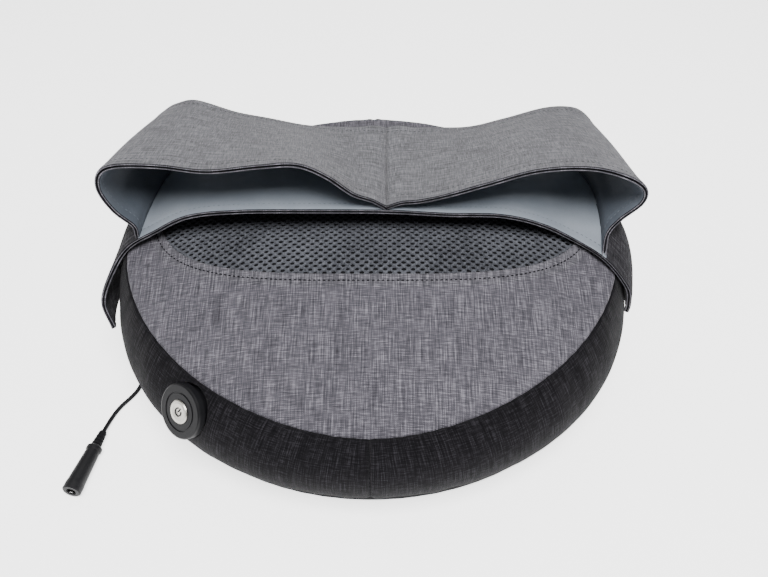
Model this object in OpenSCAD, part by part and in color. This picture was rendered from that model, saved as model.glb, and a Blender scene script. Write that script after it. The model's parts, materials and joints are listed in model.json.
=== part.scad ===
// Shiatsu neck massager: a crowned fabric cushion with a mesh window over two
// rotating massage heads, a strap with two hand loops, and a short power pigtail.
// Millimetres. X runs to the right, Y to the rear, Z up. The origin is on the flat
// underside, below the middle of the cushion's widest line.

/* [Cushion] */
// Widest width of the cushion
body_w = 344; // [338:1:350]
// Depth of the cushion in front of its widest line
front_d = 148; // [144:1:152]
// Depth of the cushion behind its widest line
rear_d = 153; // [149:1:157]
// Height of the crown
crown_z = 104; // [102:1:106]
// Height of the top seam at the front
front_seam_z = 62; // [58:1:66]
// Height of the top seam at the sides
side_seam_z = 91; // [88:1:93]
// Height of the top seam at the rear
rear_seam_z = 99; // [96:1:100]
// Height of the bottom seam
base_seam_z = 8; // [7:0.5:10]
// How far the side wall bulges past the bottom seam
wall_bulge = 12; // [9:1:14]
// Thickness of the padded cover cloth
cover_t = 3; // [2.5:0.5:3.5]

/* [Mesh window] */
// Width of the mesh window
window_w = 288; // [280:2:292]
// Front edge of the mesh window
window_front_y = -39; // [-43:1:-35]
// Rear edge of the mesh window
window_rear_y = 105; // [100:1:108]
// Thickness of the spacer mesh
mesh_t = 3; // [2.5:0.5:3]
// Width of the folded hem around the window
hem_w = 5; // [4:0.5:6]

/* [Strap] */
// Thickness of a strap band, cloth and lining together
band_t = 3; // [2:0.5:3]

/* [Drive] */
// Distance of each massage head from the middle
head_x = 54; // [54:1:54]
// Middle of the drive from front to rear
drive_y = 35; // [34:1:36]
// Tooth size of the worm drive
tooth_m = 1.5; // [1.5:0.1:1.5]
// Teeth on each worm wheel
wheel_teeth = 64; // [64:1:64]
// Diameter of the drive motor
motor_d = 32; // [28:1:32]
// Length of the drive motor
motor_l = 35; // [30:1:35]
// Distance of a massage node from its head's axis
node_offset = 26; // [24:0.5:27]
// Diameter of the larger massage node
node_d = 42; // [38:1:42]

/* [Power button] */
// Diameter of the button housing's flange
flange_d = 34; // [32:0.5:35]
// Diameter of the button
button_d = 14.4; // [12:0.2:15]
// Travel of the button
button_travel = 0.8; // [0.5:0.1:0.8]

/* [Power cord] */
// Diameter of the pigtail
cord_d = 2.8; // [2.4:0.1:3]
// Diameter of the power socket's body
socket_d = 11.7; // [11:0.1:12]

/* [Hidden] */
$fn = 48;
gap = 0.3;
mitre = 1.3 * cover_t;  // how far the wall's inner top edge lies below its outer one

// ---- Cushion outline and surfaces ----
around = 64;          // steps around the cushion
wall_steps = 8;       // steps down the side wall
seam_power = 1.8;     // squareness of the top seam's outline
base_power = 2;       // squareness of the widest outline and the bottom seam
dome_power = 2.4;     // how late the top falls away towards the sides
front_power = 1.6;    // the same towards the front
seam_side_in = 11;    // top seam, in from the widest line at the sides
seam_front_in = 17.5; // the same at the front
seam_rear_in = 12;    // the same at the rear
body_a = body_w / 2;
seam_a = body_a - seam_side_in;
seam_f = front_d - seam_front_in;
seam_r = rear_d - seam_rear_in;
base_a = body_a - wall_bulge;
base_f = front_d - wall_bulge;
base_r = rear_d - wall_bulge;

function lerp(a, b, t) = a + (b - a) * t;
function spow(v, e) = sign(v) * pow(abs(v), e);
function step_angle(i) = 360 * i / around;

// A point on an egg-shaped outline that is f deep at the front and r at the rear
function egg(phi, a, f, r, power) =
    [a * spow(cos(phi), 2 / power), (sin(phi) < 0 ? f : r) * spow(sin(phi), 2 / power)];

// Height of the top seam, from -1 at the front to 1 at the rear
function seam_z(s) = s < 0
    ? lerp(front_seam_z, side_seam_z, 1 + s)
    : lerp(side_seam_z, rear_seam_z, 1 - pow(1 - s, 3.6));

// Height of the cushion's top over any point inside the seam
function top_z(p) =
    let (v = min(1, max(-1, p[1] / (p[1] < 0 ? seam_f : seam_r))))
    let (edge = seam_z(spow(v, seam_power / 2)))
    let (mid = v < 0 ? lerp(front_seam_z, crown_z, 1 - pow(-v, front_power))
                     : lerp(rear_seam_z, crown_z, 1 - v * v))
    let (half = seam_a * pow(max(0, 1 - pow(abs(v), seam_power)), 1 / seam_power))
    let (side = half < 0.5 ? 1 : min(1, abs(p[0]) / half))
    lerp(mid, edge, pow(side, dome_power));

// The side wall, t = 0 at the top seam and 1 at the bottom seam
function wall_point(phi, t, inset, drop) =
    let (w = t <= 0 || t >= 1 ? 0 : pow(sin(180 * t), 0.8))
    let (a = lerp(lerp(seam_a, base_a, t), body_a, w) - inset)
    let (f = lerp(lerp(seam_f, base_f, t), front_d, w) - inset)
    let (r = lerp(lerp(seam_r, base_r, t), rear_d, w) - inset)
    let (p = egg(phi, a, f, r, lerp(lerp(seam_power, base_power, t), base_power, w)))
    [p[0], p[1], lerp(seam_z(sin(phi)) - drop, base_seam_z, t)];

function wall_step(k) = (1 - cos(180 * k / wall_steps)) / 2;

function wall_section(phi) = concat(
    [for (k = [0:wall_steps]) wall_point(phi, wall_step(k), 0, gap)],
    [for (k = [wall_steps:-1:0]) wall_point(phi, wall_step(k), cover_t, gap + mitre)]);

// The mesh window's outline, with fuller corners at the front than at the rear, grown by d
window_y = (window_front_y + window_rear_y) / 2;
window_half = (window_rear_y - window_front_y) / 2;
function window_point(phi, d) =
    egg(phi, window_w / 2 + d, window_half + d, window_half + d, sin(phi) < 0 ? 2.8 : 2.1)
    + [0, window_y];

function seam_point(phi, inset) =
    egg(phi, seam_a - inset, seam_f - inset, seam_r - inset, seam_power);

function on_top(p, h) = [p[0], p[1], top_z(p) + h];

// ---- Closed solids from lists of points ----
// Sections of 2m points each, the first m on the outside and the rest back along the
// inside. An open row of sections is closed at both ends.
function slab_faces(n, m, closed) =
    let (k = 2 * m, last = (n - 1) * k)
    concat(
        [for (i = [0:n - (closed ? 1 : 2)], j = [0:k - 1])
            let (i2 = (i + 1) % n, j2 = (j + 1) % k)
            each [[i * k + j, i * k + j2, i2 * k + j2], [i * k + j, i2 * k + j2, i2 * k + j]]],
        closed ? [] : [for (j = [0:m - 2]) each [
            [j + 1, j, k - 1 - j], [j + 1, k - 1 - j, k - 2 - j],
            [last + j, last + j + 1, last + k - 2 - j],
            [last + j, last + k - 2 - j, last + k - 1 - j]]]);

module slab(sections, closed) {
    polyhedron([for (s = sections) each s],
        slab_faces(len(sections), len(sections[0]) / 2, closed), convexity = 6);
}

// Rings of equal length, joined in order, with a flat cap on the first and the last
function stack_faces(n, k) = concat(
    [[for (j = [0:k - 1]) j]],
    [for (i = [0:n - 2], j = [0:k - 1])
        let (j2 = (j + 1) % k)
        each [[i * k + j, (i + 1) * k + j, (i + 1) * k + j2],
              [i * k + j, (i + 1) * k + j2, i * k + j2]]],
    [[for (j = [k - 1:-1:0]) (n - 1) * k + j]]);

module stack(rings) {
    polyhedron([for (r = rings) each r], stack_faces(len(rings), len(rings[0])), convexity = 6);
}

// A round tube along a route, with a ring square to the route at each point
function unit(v) = v / norm(v);
function heading(route, i) =
    unit(route[min(i + 1, len(route) - 1)] - route[max(i - 1, 0)]);
function tube_ring(route, i, r, sides) =
    let (d = heading(route, i))
    let (u = unit(cross(d, abs(d[2]) > 0.95 ? [1, 0, 0] : [0, 0, 1])))
    let (v = cross(d, u))
    [for (j = [0:sides - 1]) let (q = 360 * j / sides) route[i] + r * (u * cos(q) + v * sin(q))];

module tube(route, d, sides) {
    stack([for (i = [0:len(route) - 1]) tube_ring(route, i, d / 2, sides)]);
}

// A straight round bar between two points
module bar(a, b, r) {
    d = b - a;
    translate(a)
        rotate([0, acos(d[2] / norm(d)), atan2(d[1], d[0])])
            cylinder(h = norm(d), r = r);
}

// ---- Cover ----
module top_panel() {
    rows = 5;
    color([0.47, 0.46, 0.50])
        slab([for (i = [0:around - 1]) let (phi = -step_angle(i)) concat(
            [for (q = [0:rows]) on_top(lerp(seam_point(phi, 0), window_point(phi, 0), q / rows), 0)],
            [for (q = [rows:-1:0])
                on_top(lerp(seam_point(phi, 0.8 * cover_t), window_point(phi, 0), q / rows),
                       -cover_t)])], true);
}

// One side of the mesh as rings from the rim to a small flat ring in the middle
function mesh_ring(q, h, edge) = [for (i = [0:around - 1])
    let (p = lerp([0, window_y], window_point(step_angle(i), edge), q))
    q < 0.1 ? [p[0], p[1], top_z([0, window_y]) + h] : on_top(p, h)];

module mesh_panel() {
    steps = [0.07, 0.2, 0.35, 0.5, 0.65, 0.8, 0.9, 1];
    color([0.38, 0.38, 0.42])
        stack(concat(
            [for (q = steps) mesh_ring(q, -mesh_t, -0.6)],
            [for (k = [len(steps) - 1:-1:0]) mesh_ring(steps[k], 0, -0.6)]));
}

module window_hem() {
    lift = 0.25;
    section = [[-hem_w / 2, lift], [-0.4 * hem_w, lift + 0.9], [0, lift + 1.2],
               [0.4 * hem_w, lift + 0.9], [hem_w / 2, lift], [0, lift]];
    color([0.30, 0.30, 0.33])
        slab([for (i = [0:around - 1])
            [for (s = section) on_top(window_point(step_angle(i), s[0]), s[1])]], true);
}

// Half of the side wall, from one middle seam to the other
module side_wall(start) {
    half = around / 2;
    slab([for (i = [0:half]) wall_section(start - 180 * i / half)], false);
}

module side_wall_left() {
    color([0.27, 0.27, 0.30])
        difference() {
            side_wall(270);
            at_button() {
                translate([0, 0, -20]) cylinder(h = 40, d = barrel_d + 0.4);
                translate([0, 0, flange_low - 0.1]) cylinder(h = 10, d = flange_d + 0.6);
            }
            gland_hole();
        }
}

module side_wall_right() {
    color([0.27, 0.27, 0.30]) side_wall(90);
}

bottom_t = 3;
function base_ring(inset, z) = [for (i = [0:around - 1])
    let (p = egg(step_angle(i), base_a - inset, base_f - inset, base_r - inset, base_power))
    [p[0], p[1], z]];

zip_y = 82;
zip_l = 180;
slot_w = 10;

module bottom_panel() {
    rim = base_seam_z - gap;
    color([0.05, 0.05, 0.06])
        difference() {
            stack([base_ring(4, 0), base_ring(0.5, 2), base_ring(0, rim),
                   base_ring(cover_t, rim), base_ring(4.5, 4.5), base_ring(8, bottom_t)]);
            translate([-zip_l / 2 - 4, zip_y - slot_w / 2, -1]) cube([zip_l + 8, slot_w, bottom_t + 2]);
            gland_hole();
        }
}

// Zip across the underside: tape inside the cover, teeth in the slot, a tabless slider
module zip_tape() {
    color([0.08, 0.08, 0.09])
        translate([-zip_l / 2 - 8, zip_y - 11, bottom_t + 0.05]) cube([zip_l + 16, 22, 0.5]);
}

module zip_teeth() {
    pitch = 2;
    color([0.12, 0.12, 0.13])
        for (i = [0:zip_l / pitch - 1])
            translate([-zip_l / 2 + i * pitch, zip_y - (i % 2 == 0 ? 2.2 : 1.4), 1.6])
                cube([1.2, 3.6, bottom_t + 0.05 - 1.6]);
}

slider_x = -84;
module zip_slider() {
    color([0.55, 0.55, 0.57])
        translate([slider_x, zip_y, 0.5]) {
            translate([-4.5, -3.6, 0]) cube([9, 7.2, 0.9]);
            for (side = [-1, 1])
                translate([-4.5, side * 3 - 0.6, 0.8]) cube([9, 1.2, 1.6]);
        }
}

// ---- Padding ----
cavity_w = 217;
cavity_d = 155;
cavity_r = 40.5;
cavity_floor = 9.9;

// A flat rectangle with round corners
module rounded_rect(w, d, r) {
    square([w - 2 * r, d], center = true);
    square([w, d - 2 * r], center = true);
    for (x = [-1, 1], y = [-1, 1])
        translate([x * (w / 2 - r), y * (d / 2 - r)]) circle(r);
}

foam_gap = 1.6;
foam_top = -cover_t - 2.2;
function foam_wall_ring(t) = [for (i = [0:around - 1])
    wall_point(step_angle(i), t, cover_t + foam_gap, gap + mitre + foam_gap)];
function foam_top_ring(q) = [for (i = [0:around - 1])
    let (p = q * seam_point(step_angle(i), cover_t + 2))
    q < 0.3 ? [p[0], p[1], crown_z + foam_top] : on_top(p, foam_top)];

module foam_body() {
    color([0.85, 0.83, 0.75])
        difference() {
            stack(concat(
                [base_ring(13, bottom_t + 0.8), base_ring(8, 6)],
                [for (k = [wall_steps - 1:-1:1]) foam_wall_ring(wall_step(k))],
                [for (q = [1, 0.93, 0.85, 0.75, 0.6, 0.42, 0.25]) foam_top_ring(q)]));
            translate([0, drive_y, cavity_floor])
                linear_extrude(height = 120) rounded_rect(cavity_w, cavity_d, cavity_r);
            at_button() translate([0, 0, -28]) cylinder(h = 40, d = flange_d + 4);
            at_gland() translate([0, 0, -16]) cylinder(h = 30, r = gland_r + 3);
            for (r = [switch_route, supply_route])
                bar(r[0], r[2] + 2 * unit(r[2] - r[0]), 3);
        }
}

// Thin cloth over the massage heads, under the mesh
function liner_ring(q, h) = [for (i = [0:around - 1])
    let (phi = step_angle(i))
    let (p = [0, drive_y] + q * egg(phi, cavity_w / 2 - 4, cavity_d / 2 - 4, cavity_d / 2 - 4, 2.6))
    q < 0.1 ? [p[0], p[1], top_z([0, drive_y]) + h] : on_top(p, h)];

module inner_liner() {
    steps = [0.07, 0.35, 0.65, 0.85, 1];
    color([0.10, 0.10, 0.11])
        stack(concat(
            [for (q = steps) liner_ring(q, -mesh_t - 2.6)],
            [for (k = [len(steps) - 1:-1:0]) liner_ring(steps[k], -mesh_t - 1.8)]));
}

// ---- Strap ----
// Each band hangs between three rails: its near edge, its middle and its far edge
band_rails = [
    [[-168, -42, 56], [-176, -28, 66], [-169, -15, 82], [-158, -7, 95], [-140, -4, 105],
     [-116, -3, 117], [-84, -3, 121], [-40, -3, 121.5], [10, -3, 121], [48, -3, 118.7],
     [82, -3, 118], [108, -3, 111], [130, -6, 101], [149.2, -18, 94.5], [163.4, -30, 81.5],
     [169, -28, 64], [172.3, -22, 50]],
    [[-176, 10, 48], [-174, 14, 62], [-166.5, 26, 80], [-160, 36, 96], [-145, 43, 105],
     [-118, 47, 112.5], [-82, 47, 116.5], [-39, 47, 117.5], [9, 47, 116.5], [49, 47, 116],
     [83, 47, 115], [109, 46, 111], [130, 44, 105.5], [152.8, 36, 103.2], [168, 24, 91.2],
     [173.2, 14, 66], [175.2, 10, 48]],
    [[-162, 62, 44], [-160.5, 67, 60], [-151, 77, 78], [-143, 85, 93], [-133, 92, 103],
     [-110, 96, 111], [-78, 97, 114], [-38, 97, 113.5], [8, 97, 112.5], [48, 97, 112.5],
     [80, 97, 112], [105, 97, 108], [124, 92, 102], [139, 85, 95], [148, 77, 80],
     [158.5, 68, 63], [162, 64, 47]]];
left_rails = [
    [[-151, -4, 102.5], [-152, -3, 110], [-161, -3, 122], [-166, -3, 138],
     [-162, -3, 150.5], [-150, -3, 155.5], [-125, -3, 155], [-98, -3, 151.5],
     [-66, -3, 155], [-44, -3, 156], [-27, -3, 148], [-10, -3, 134], [8.8, -3, 124.8]],
    [[-146, 44, 108.5], [-151, 46, 115], [-160, 47, 123], [-163, 47, 134], [-154, 47, 143],
     [-145, 47, 147], [-125, 47, 148], [-98, 47, 144], [-72, 47, 142], [-48, 47, 139],
     [-30, 47, 133], [-12, 47, 126], [8.8, 47, 121.5]],
    [[-137, 90, 103.5], [-142, 94, 110.5], [-150, 97, 118], [-154, 97, 126],
     [-147, 97, 133], [-138, 97, 138], [-124, 97, 140], [-98, 97, 130], [-76, 97, 124.5],
     [-52, 97, 119], [-34, 97, 117.7], [-14, 97, 117.3], [8.8, 97, 117.2]]];
right_rails = [
    [[10.2, -3, 124.8], [40, -3, 132], [70, -3, 142], [100, -3, 151.5], [131, -3, 153],
     [154, -3, 147], [167, -3, 138.5], [168, -3, 128], [158, -3, 115], [151.5, -6, 106],
     [149, -15, 97.8]],
    [[10.2, 47, 121.5], [42, 47, 126], [72, 47, 132], [100, 47, 142], [130, 47, 144.5],
     [148, 47, 140], [160, 47, 133.5], [164, 46, 125.5], [160, 44, 117], [154, 42, 111],
     [152, 40, 106.8]],
    [[10.2, 97, 117.2], [44, 97, 117], [70, 97, 118], [94, 97, 125], [122, 97, 134],
     [141, 97, 134.5], [151, 97, 129], [156, 96, 121.5], [152.5, 94, 113], [147, 91, 105.5],
     [141.5, 88, 98]]];

// A smooth curve through the points, u counted in points
function curve_at(pts, u) =
    let (n = len(pts), i = min(floor(u), n - 2), t = u - i)
    let (b = pts[i], c = pts[i + 1])
    let (a = i > 0 ? pts[i - 1] : 2 * b - c, d = i < n - 2 ? pts[i + 2] : 2 * c - b)
    0.5 * (2 * b + (c - a) * t + (2 * a - 5 * b + 4 * c - d) * t * t
           + (3 * b - a - 3 * c + d) * t * t * t);

// A point of the band's middle layer, v = 0 at the near edge and 1 at the far edge
function band_point(rails, u, v) =
    (1 - v) * (1 - 2 * v) * curve_at(rails[0], u) + 4 * v * (1 - v) * curve_at(rails[1], u)
    + v * (2 * v - 1) * curve_at(rails[2], u);

function band_normal(rails, u, v) =
    let (e = 0.02, last = len(rails[0]) - 1)
    unit(cross(band_point(rails, min(u + e, last), v) - band_point(rails, max(u - e, 0), v),
               band_point(rails, u, min(v + e, 1)) - band_point(rails, u, max(v - e, 0))));

module band(rails) {
    fine = 3;
    across = 4;
    slab([for (i = [0:fine * (len(rails[0]) - 1)]) let (u = i / fine) concat(
        [for (j = [0:across]) let (v = j / across)
            band_point(rails, u, v) + band_t / 2 * band_normal(rails, u, v)],
        [for (j = [across:-1:0]) let (v = j / across)
            band_point(rails, u, v) - band_t / 2 * band_normal(rails, u, v)])], false);
}

module strap_band() {
    color([0.52, 0.53, 0.56]) band(band_rails);
}

module hand_loop_left() {
    color([0.55, 0.55, 0.57]) band(left_rails);
}

module hand_loop_right() {
    color([0.55, 0.55, 0.57]) band(right_rails);
}

// ---- Power button, set square to the slope of the left front wall ----
button_at = [-110.5, -106.5, 54.5];
flange_low = -1.5;
flange_high = 3.2;
barrel_d = 26;
barrel_low = -22;

module at_button() {
    translate(button_at) rotate([0, 59, 229]) children();
}

module power_housing() {
    rim = 1.2;
    color([0.06, 0.06, 0.07])
        at_button() difference() {
            union() {
                translate([0, 0, flange_low]) cylinder(h = flange_high - flange_low - rim, d = flange_d);
                rotate_extrude()
                    polygon([[0, flange_high - rim - 0.1], [flange_d / 2, flange_high - rim - 0.1],
                             [flange_d / 2 - 0.4, flange_high - 0.4], [flange_d / 2 - rim, flange_high],
                             [0, flange_high]]);
                translate([0, 0, barrel_low]) cylinder(h = flange_low - barrel_low + 0.1, d = barrel_d);
            }
            // groove around the button
            rotate_extrude() translate([11, flange_high - 0.5]) square([1.2, 1]);
            translate([0, 0, -3]) cylinder(h = 10, d = button_d + 0.12);
            translate([0, 0, -9.5]) cylinder(h = 8, d = 20);
            translate([0, 0, barrel_low - 1]) cylinder(h = 13.5, d = 22);
        }
}

module power_button() {
    color([0.68, 0.66, 0.62])
        at_button() {
            rotate_extrude()
                polygon([[0, -1.7], [button_d / 2, -1.7], [button_d / 2, 3.6],
                         [button_d / 2 - 0.5, 4.1], [button_d / 2 - 2, 4.2], [0, 3.9]]);
            translate([0, 0, -3]) cylinder(h = 1.35, d = 18);
            translate([0, 0, -5]) cylinder(h = 2.05, r = 2);
        }
}

module switch_plunger() {
    color([0.10, 0.10, 0.10])
        at_button() translate([0, 0, -8.2]) cylinder(h = 3.2, r = 1.7);
}

module button_switch() {
    color([0.75, 0.75, 0.75])
        at_button() difference() {
            translate([-3, -3, -9.5]) cube([6, 6, 3.5]);
            translate([0, 0, -8.4 - button_travel]) cylinder(h = 4, r = 1.76);
        }
}

module switch_board() {
    color([0.05, 0.35, 0.18])
        at_button() translate([0, 0, -11.1]) cylinder(h = 1.6, d = 21.8);
}

module housing_cap() {
    color([0.06, 0.06, 0.07])
        at_button() difference() {
            translate([0, 0, barrel_low]) cylinder(h = 2, d = 21.9);
            translate([0, 0, barrel_low - 1]) cylinder(h = 4, r = 1.6);
        }
}

module housing_nut() {
    color([0.12, 0.12, 0.13])
        at_button() translate([0, 0, -13]) difference() {
            cylinder(h = 4, d = flange_d - 1, $fn = 6);
            translate([0, 0, -1]) cylinder(h = 6, d = barrel_d + 0.1);
        }
}

// ---- Drive housing ----
housing_w = 216;
housing_d = 154;
housing_r = 40;
shell_t = 2.5;
housing_low = 10;
split_z = 30;
housing_high = 49;
wheel_r = tooth_m * wheel_teeth / 2;
worm_r = head_x - wheel_r;
gear_z = 30;          // middle of the worm and of both wheels
wheel_face = 8;
axle_r = 4;
boss_top = 24.8;
screw_spots = [[-88, -57], [88, -57], [-88, 57], [88, 57], [-54, -68], [54, -68]];
board_y = -25;
board_spots = [[-28, -9], [28, -9], [-28, 9], [28, 9]];
bush_ys = [16, 52];
motor_y = 68;
motor_screw_x = 9;

module housing_wall(low, high) {
    translate([0, drive_y, low]) linear_extrude(height = high - low) difference() {
        rounded_rect(housing_w, housing_d, housing_r);
        rounded_rect(housing_w - 2 * shell_t, housing_d - 2 * shell_t, housing_r - shell_t);
    }
}

module housing_plate(low) {
    translate([0, drive_y, low])
        linear_extrude(height = shell_t) rounded_rect(housing_w, housing_d, housing_r);
}

module at_heads() {
    for (side = [-1, 1]) translate([side * head_x, drive_y, 0]) children();
}

module lower_housing() {
    floor_top = housing_low + shell_t;
    color([0.14, 0.14, 0.15])
        difference() {
            union() {
                housing_plate(housing_low);
                housing_wall(floor_top, split_z);
                at_heads() translate([0, 0, floor_top]) cylinder(h = boss_top - floor_top, r = 10);
                for (s = screw_spots)
                    translate([s[0], drive_y + s[1], floor_top]) cylinder(h = split_z - floor_top, r = 4.2);
                for (s = board_spots)
                    translate([s[0], board_y + s[1], floor_top]) cylinder(h = 16.4 - floor_top, r = 2.6);
                // posts of the worm's two bushes and the motor's cradle
                for (y = bush_ys)
                    translate([-6.5, y, floor_top]) cube([13, 5, gear_z + 8 - floor_top]);
                for (y = [motor_y + 6, motor_y + motor_l - 12])
                    translate([-12, y, floor_top]) cube([24, 5, 6]);
            }
            at_heads() translate([0, 0, housing_low + 1]) cylinder(h = 40, r = axle_r);
            for (y = bush_ys)
                translate([0, y - 1, gear_z]) rotate([-90, 0, 0]) cylinder(h = 7, r = 5);
            translate([0, motor_y - 1, gear_z]) rotate([-90, 0, 0])
                cylinder(h = motor_l + 2, d = motor_d + 0.2);
            for (s = screw_spots)
                translate([s[0], drive_y + s[1], housing_low - 1]) {
                    cylinder(h = 40, r = 1.6);
                    cylinder(h = 3.2, r = 3.1);
                }
            for (s = board_spots)
                translate([s[0], board_y + s[1], floor_top]) cylinder(h = 10, r = 1);
            // notches for the two leads that come in through the wall
            for (r = [switch_route, supply_route])
                translate([r[2][0], r[2][1], r[2][2]]) sphere(r = 7);
        }
}

module upper_housing() {
    color([0.18, 0.18, 0.19])
        difference() {
            union() {
                housing_plate(housing_high - shell_t);
                housing_wall(split_z + 0.1, housing_high - shell_t);
                for (s = screw_spots)
                    translate([s[0], drive_y + s[1], split_z + 0.1])
                        cylinder(h = housing_high - split_z - 1, r = 4.2);
            }
            at_heads() translate([0, 0, 40]) cylinder(h = 20, r = hub_r + 2);
            for (s = screw_spots)
                translate([s[0], drive_y + s[1], split_z - 1]) cylinder(h = 14, r = 1.25);
            for (r = [switch_route, supply_route])
                translate([r[2][0], r[2][1], r[2][2]]) sphere(r = 7);
        }
}

module housing_screws() {
    color([0.60, 0.60, 0.62])
        for (s = screw_spots)
            translate([s[0], drive_y + s[1], 0]) {
                translate([0, 0, housing_low + 0.2]) cylinder(h = 2, r = 2.9);
                translate([0, 0, housing_low + 2]) cylinder(h = 28, r = 1.25);
            }
}

// ---- Motor and worm ----
module along_y(y) {
    translate([0, y, gear_z]) rotate([-90, 0, 0]) children();
}

module motor() {
    shaft_hole = 3.2;
    color([0.62, 0.62, 0.64])
        difference() {
            union() {
                along_y(motor_y) cylinder(h = motor_l, d = motor_d);
                along_y(motor_y + motor_l - 0.1) cylinder(h = 2.1, r = 5);
                for (x = [-9, 9])
                    translate([x - 1.2, motor_y + motor_l - 0.1, gear_z - 0.25]) cube([2.4, 3.1, 0.5]);
            }
            along_y(motor_y - 1) cylinder(h = 15, r = shaft_hole);
            for (x = [-motor_screw_x, motor_screw_x])
                translate([x, 0, 0]) along_y(motor_y - 1) cylinder(h = 7, r = 1.2);
        }
}

module motor_bracket() {
    color([0.50, 0.50, 0.52])
        difference() {
            translate([-13, motor_y - 2, 15]) cube([26, 1.9, 29]);
            along_y(motor_y - 3) cylinder(h = 5, r = 5);
            for (x = [-motor_screw_x, motor_screw_x])
                translate([x, 0, 0]) along_y(motor_y - 3) cylinder(h = 5, r = 1.6);
        }
}

module motor_screws() {
    color([0.60, 0.60, 0.62])
        for (x = [-motor_screw_x, motor_screw_x])
            translate([x, 0, 0]) {
                along_y(motor_y - 4) cylinder(h = 1.9, r = 2.6);
                along_y(motor_y - 2.2) cylinder(h = 7, r = 1.2);
            }
}

worm_low = 22;
worm_high = 48;
worm_lead = PI * tooth_m;
thread_root = worm_r - 1.25 * tooth_m;
thread_tip = worm_r + tooth_m;

// The worm's thread as one winding of a narrow trapezium, placed so that it faces a gap
// of each wheel at rest
thread_sides = 20;
thread_turns = 5;
thread_section = [[thread_root - 0.3, 1], [thread_tip - 0.3, 0.4],
                  [thread_tip - 0.3, -0.4], [thread_root - 0.3, -1]];

module worm_thread() {
    slab([for (i = [0:thread_turns * thread_sides])
        let (q = 360 * i / thread_sides)
        let (y = drive_y + worm_lead * (i / thread_sides - thread_turns / 2))
        [for (s = thread_section) [s[0] * cos(q), y + s[1], gear_z + s[0] * sin(q)]]], false);
}

module worm_shaft() {
    color([0.72, 0.60, 0.35]) {
        union() {
            along_y(14) cylinder(h = 65, r = 3);
            along_y(worm_low) cylinder(h = worm_high - worm_low, r = thread_root);
            worm_thread();
        }
    }
}

module worm_bushes() {
    color([0.72, 0.55, 0.30])
        for (y = bush_ys)
            along_y(y) difference() {
                cylinder(h = 5, r = 5);
                translate([0, 0, -1]) cylinder(h = 7, r = 3.05);
            }
}

// ---- Worm wheels and massage heads ----
hub_r = 14;
hub_top = 50;
bush_r = 6;
tooth_half = 0.55;

// Straight teeth, thin enough to leave backlash against the worm
module worm_wheel(screw_turn) {
    root = wheel_r - 1.25 * tooth_m;
    tip = wheel_r + 0.7 * tooth_m;
    difference() {
        union() {
            translate([0, 0, gear_z - wheel_face / 2]) {
                cylinder(h = wheel_face, r = root, $fn = 128);
                for (i = [0:wheel_teeth - 1])
                    rotate([0, 0, 360 * i / wheel_teeth])
                        linear_extrude(height = wheel_face)
                            polygon([[root - 0.5, -tooth_half - 0.5], [tip, -tooth_half],
                                     [tip, tooth_half], [root - 0.5, tooth_half + 0.5]]);
            }
            translate([0, 0, boss_top + 0.2]) cylinder(h = hub_top - boss_top - 0.2, r = hub_r);
        }
        translate([0, 0, 20]) cylinder(h = 40, r = bush_r);
        for (q = [0:120:240])
            rotate([0, 0, q + screw_turn]) translate([10, 0, hub_top - 10]) cylinder(h = 11, r = 1.25);
        for (q = [30:60:330])
            rotate([0, 0, q]) translate([30, 0, 20]) cylinder(h = 20, r = 8);
    }
}

// Turning the left wheel by this much puts a gap between its teeth on the worm's thread
left_phase = 360 / wheel_teeth / 2;
right_phase = 0;

module worm_wheel_left() {
    color([0.93, 0.92, 0.88])
        translate([-head_x, drive_y, 0]) rotate([0, 0, left_phase]) worm_wheel(left_turn - left_phase);
}

module worm_wheel_right() {
    color([0.93, 0.92, 0.88])
        translate([head_x, drive_y, 0]) rotate([0, 0, right_phase]) worm_wheel(right_turn - right_phase);
}

module wheel_bush() {
    color([0.72, 0.55, 0.30])
        translate([0, drive_y, boss_top + 0.2]) difference() {
            cylinder(h = hub_top - boss_top - 0.4, r = bush_r - 0.01);
            translate([0, 0, -1]) cylinder(h = 40, r = axle_r + 0.05);
        }
}

module wheel_bush_left() {
    translate([-head_x, 0, 0]) wheel_bush();
}

module wheel_bush_right() {
    translate([head_x, 0, 0]) wheel_bush();
}

axle_top = 54;
clip_z = 50.5;

module wheel_axles() {
    color([0.70, 0.70, 0.72])
        at_heads() difference() {
            translate([0, 0, housing_low + 1]) cylinder(h = axle_top - housing_low - 1, r = axle_r);
            translate([0, 0, clip_z]) rotate_extrude() translate([3.2, 0]) square([2, 1]);
        }
}

module axle_clips() {
    color([0.40, 0.40, 0.42])
        at_heads() translate([0, 0, clip_z + 0.1]) difference() {
            cylinder(h = 0.8, r = 6.5);
            translate([0, 0, -1]) cylinder(h = 3, r = 3.25);
            translate([0, -1.5, -1]) cube([8, 3, 3]);
        }
}

carrier_low = hub_top;
carrier_t = 6;
pin_r = 4;
node_low = 58;
left_turn = 25;
right_turn = -25;

module at_left_head() {
    translate([-head_x, drive_y, 0]) rotate([0, 0, left_turn]) children();
}

module at_right_head() {
    translate([head_x, drive_y, 0]) rotate([0, 0, right_turn]) children();
}

module head_carrier() {
    color([0.80, 0.80, 0.78])
        translate([0, 0, carrier_low]) difference() {
            linear_extrude(height = carrier_t) {
                circle(18);
                square([2 * node_offset, 20], center = true);
                for (x = [-node_offset, node_offset]) translate([x, 0]) circle(10);
            }
            translate([0, 0, -1]) cylinder(h = carrier_t + 2, r = 7.5);
            for (x = [-node_offset, node_offset])
                translate([x, 0, -1]) cylinder(h = carrier_t + 2, r = pin_r);
            for (q = [0:120:240])
                rotate([0, 0, q]) translate([10, 0, -1]) {
                    cylinder(h = carrier_t + 2, r = 1.6);
                    translate([0, 0, 4]) cylinder(h = 8, r = 2.45);
                }
        }
}

module head_carrier_left() {
    at_left_head() head_carrier();
}

module head_carrier_right() {
    at_right_head() head_carrier();
}

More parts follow.
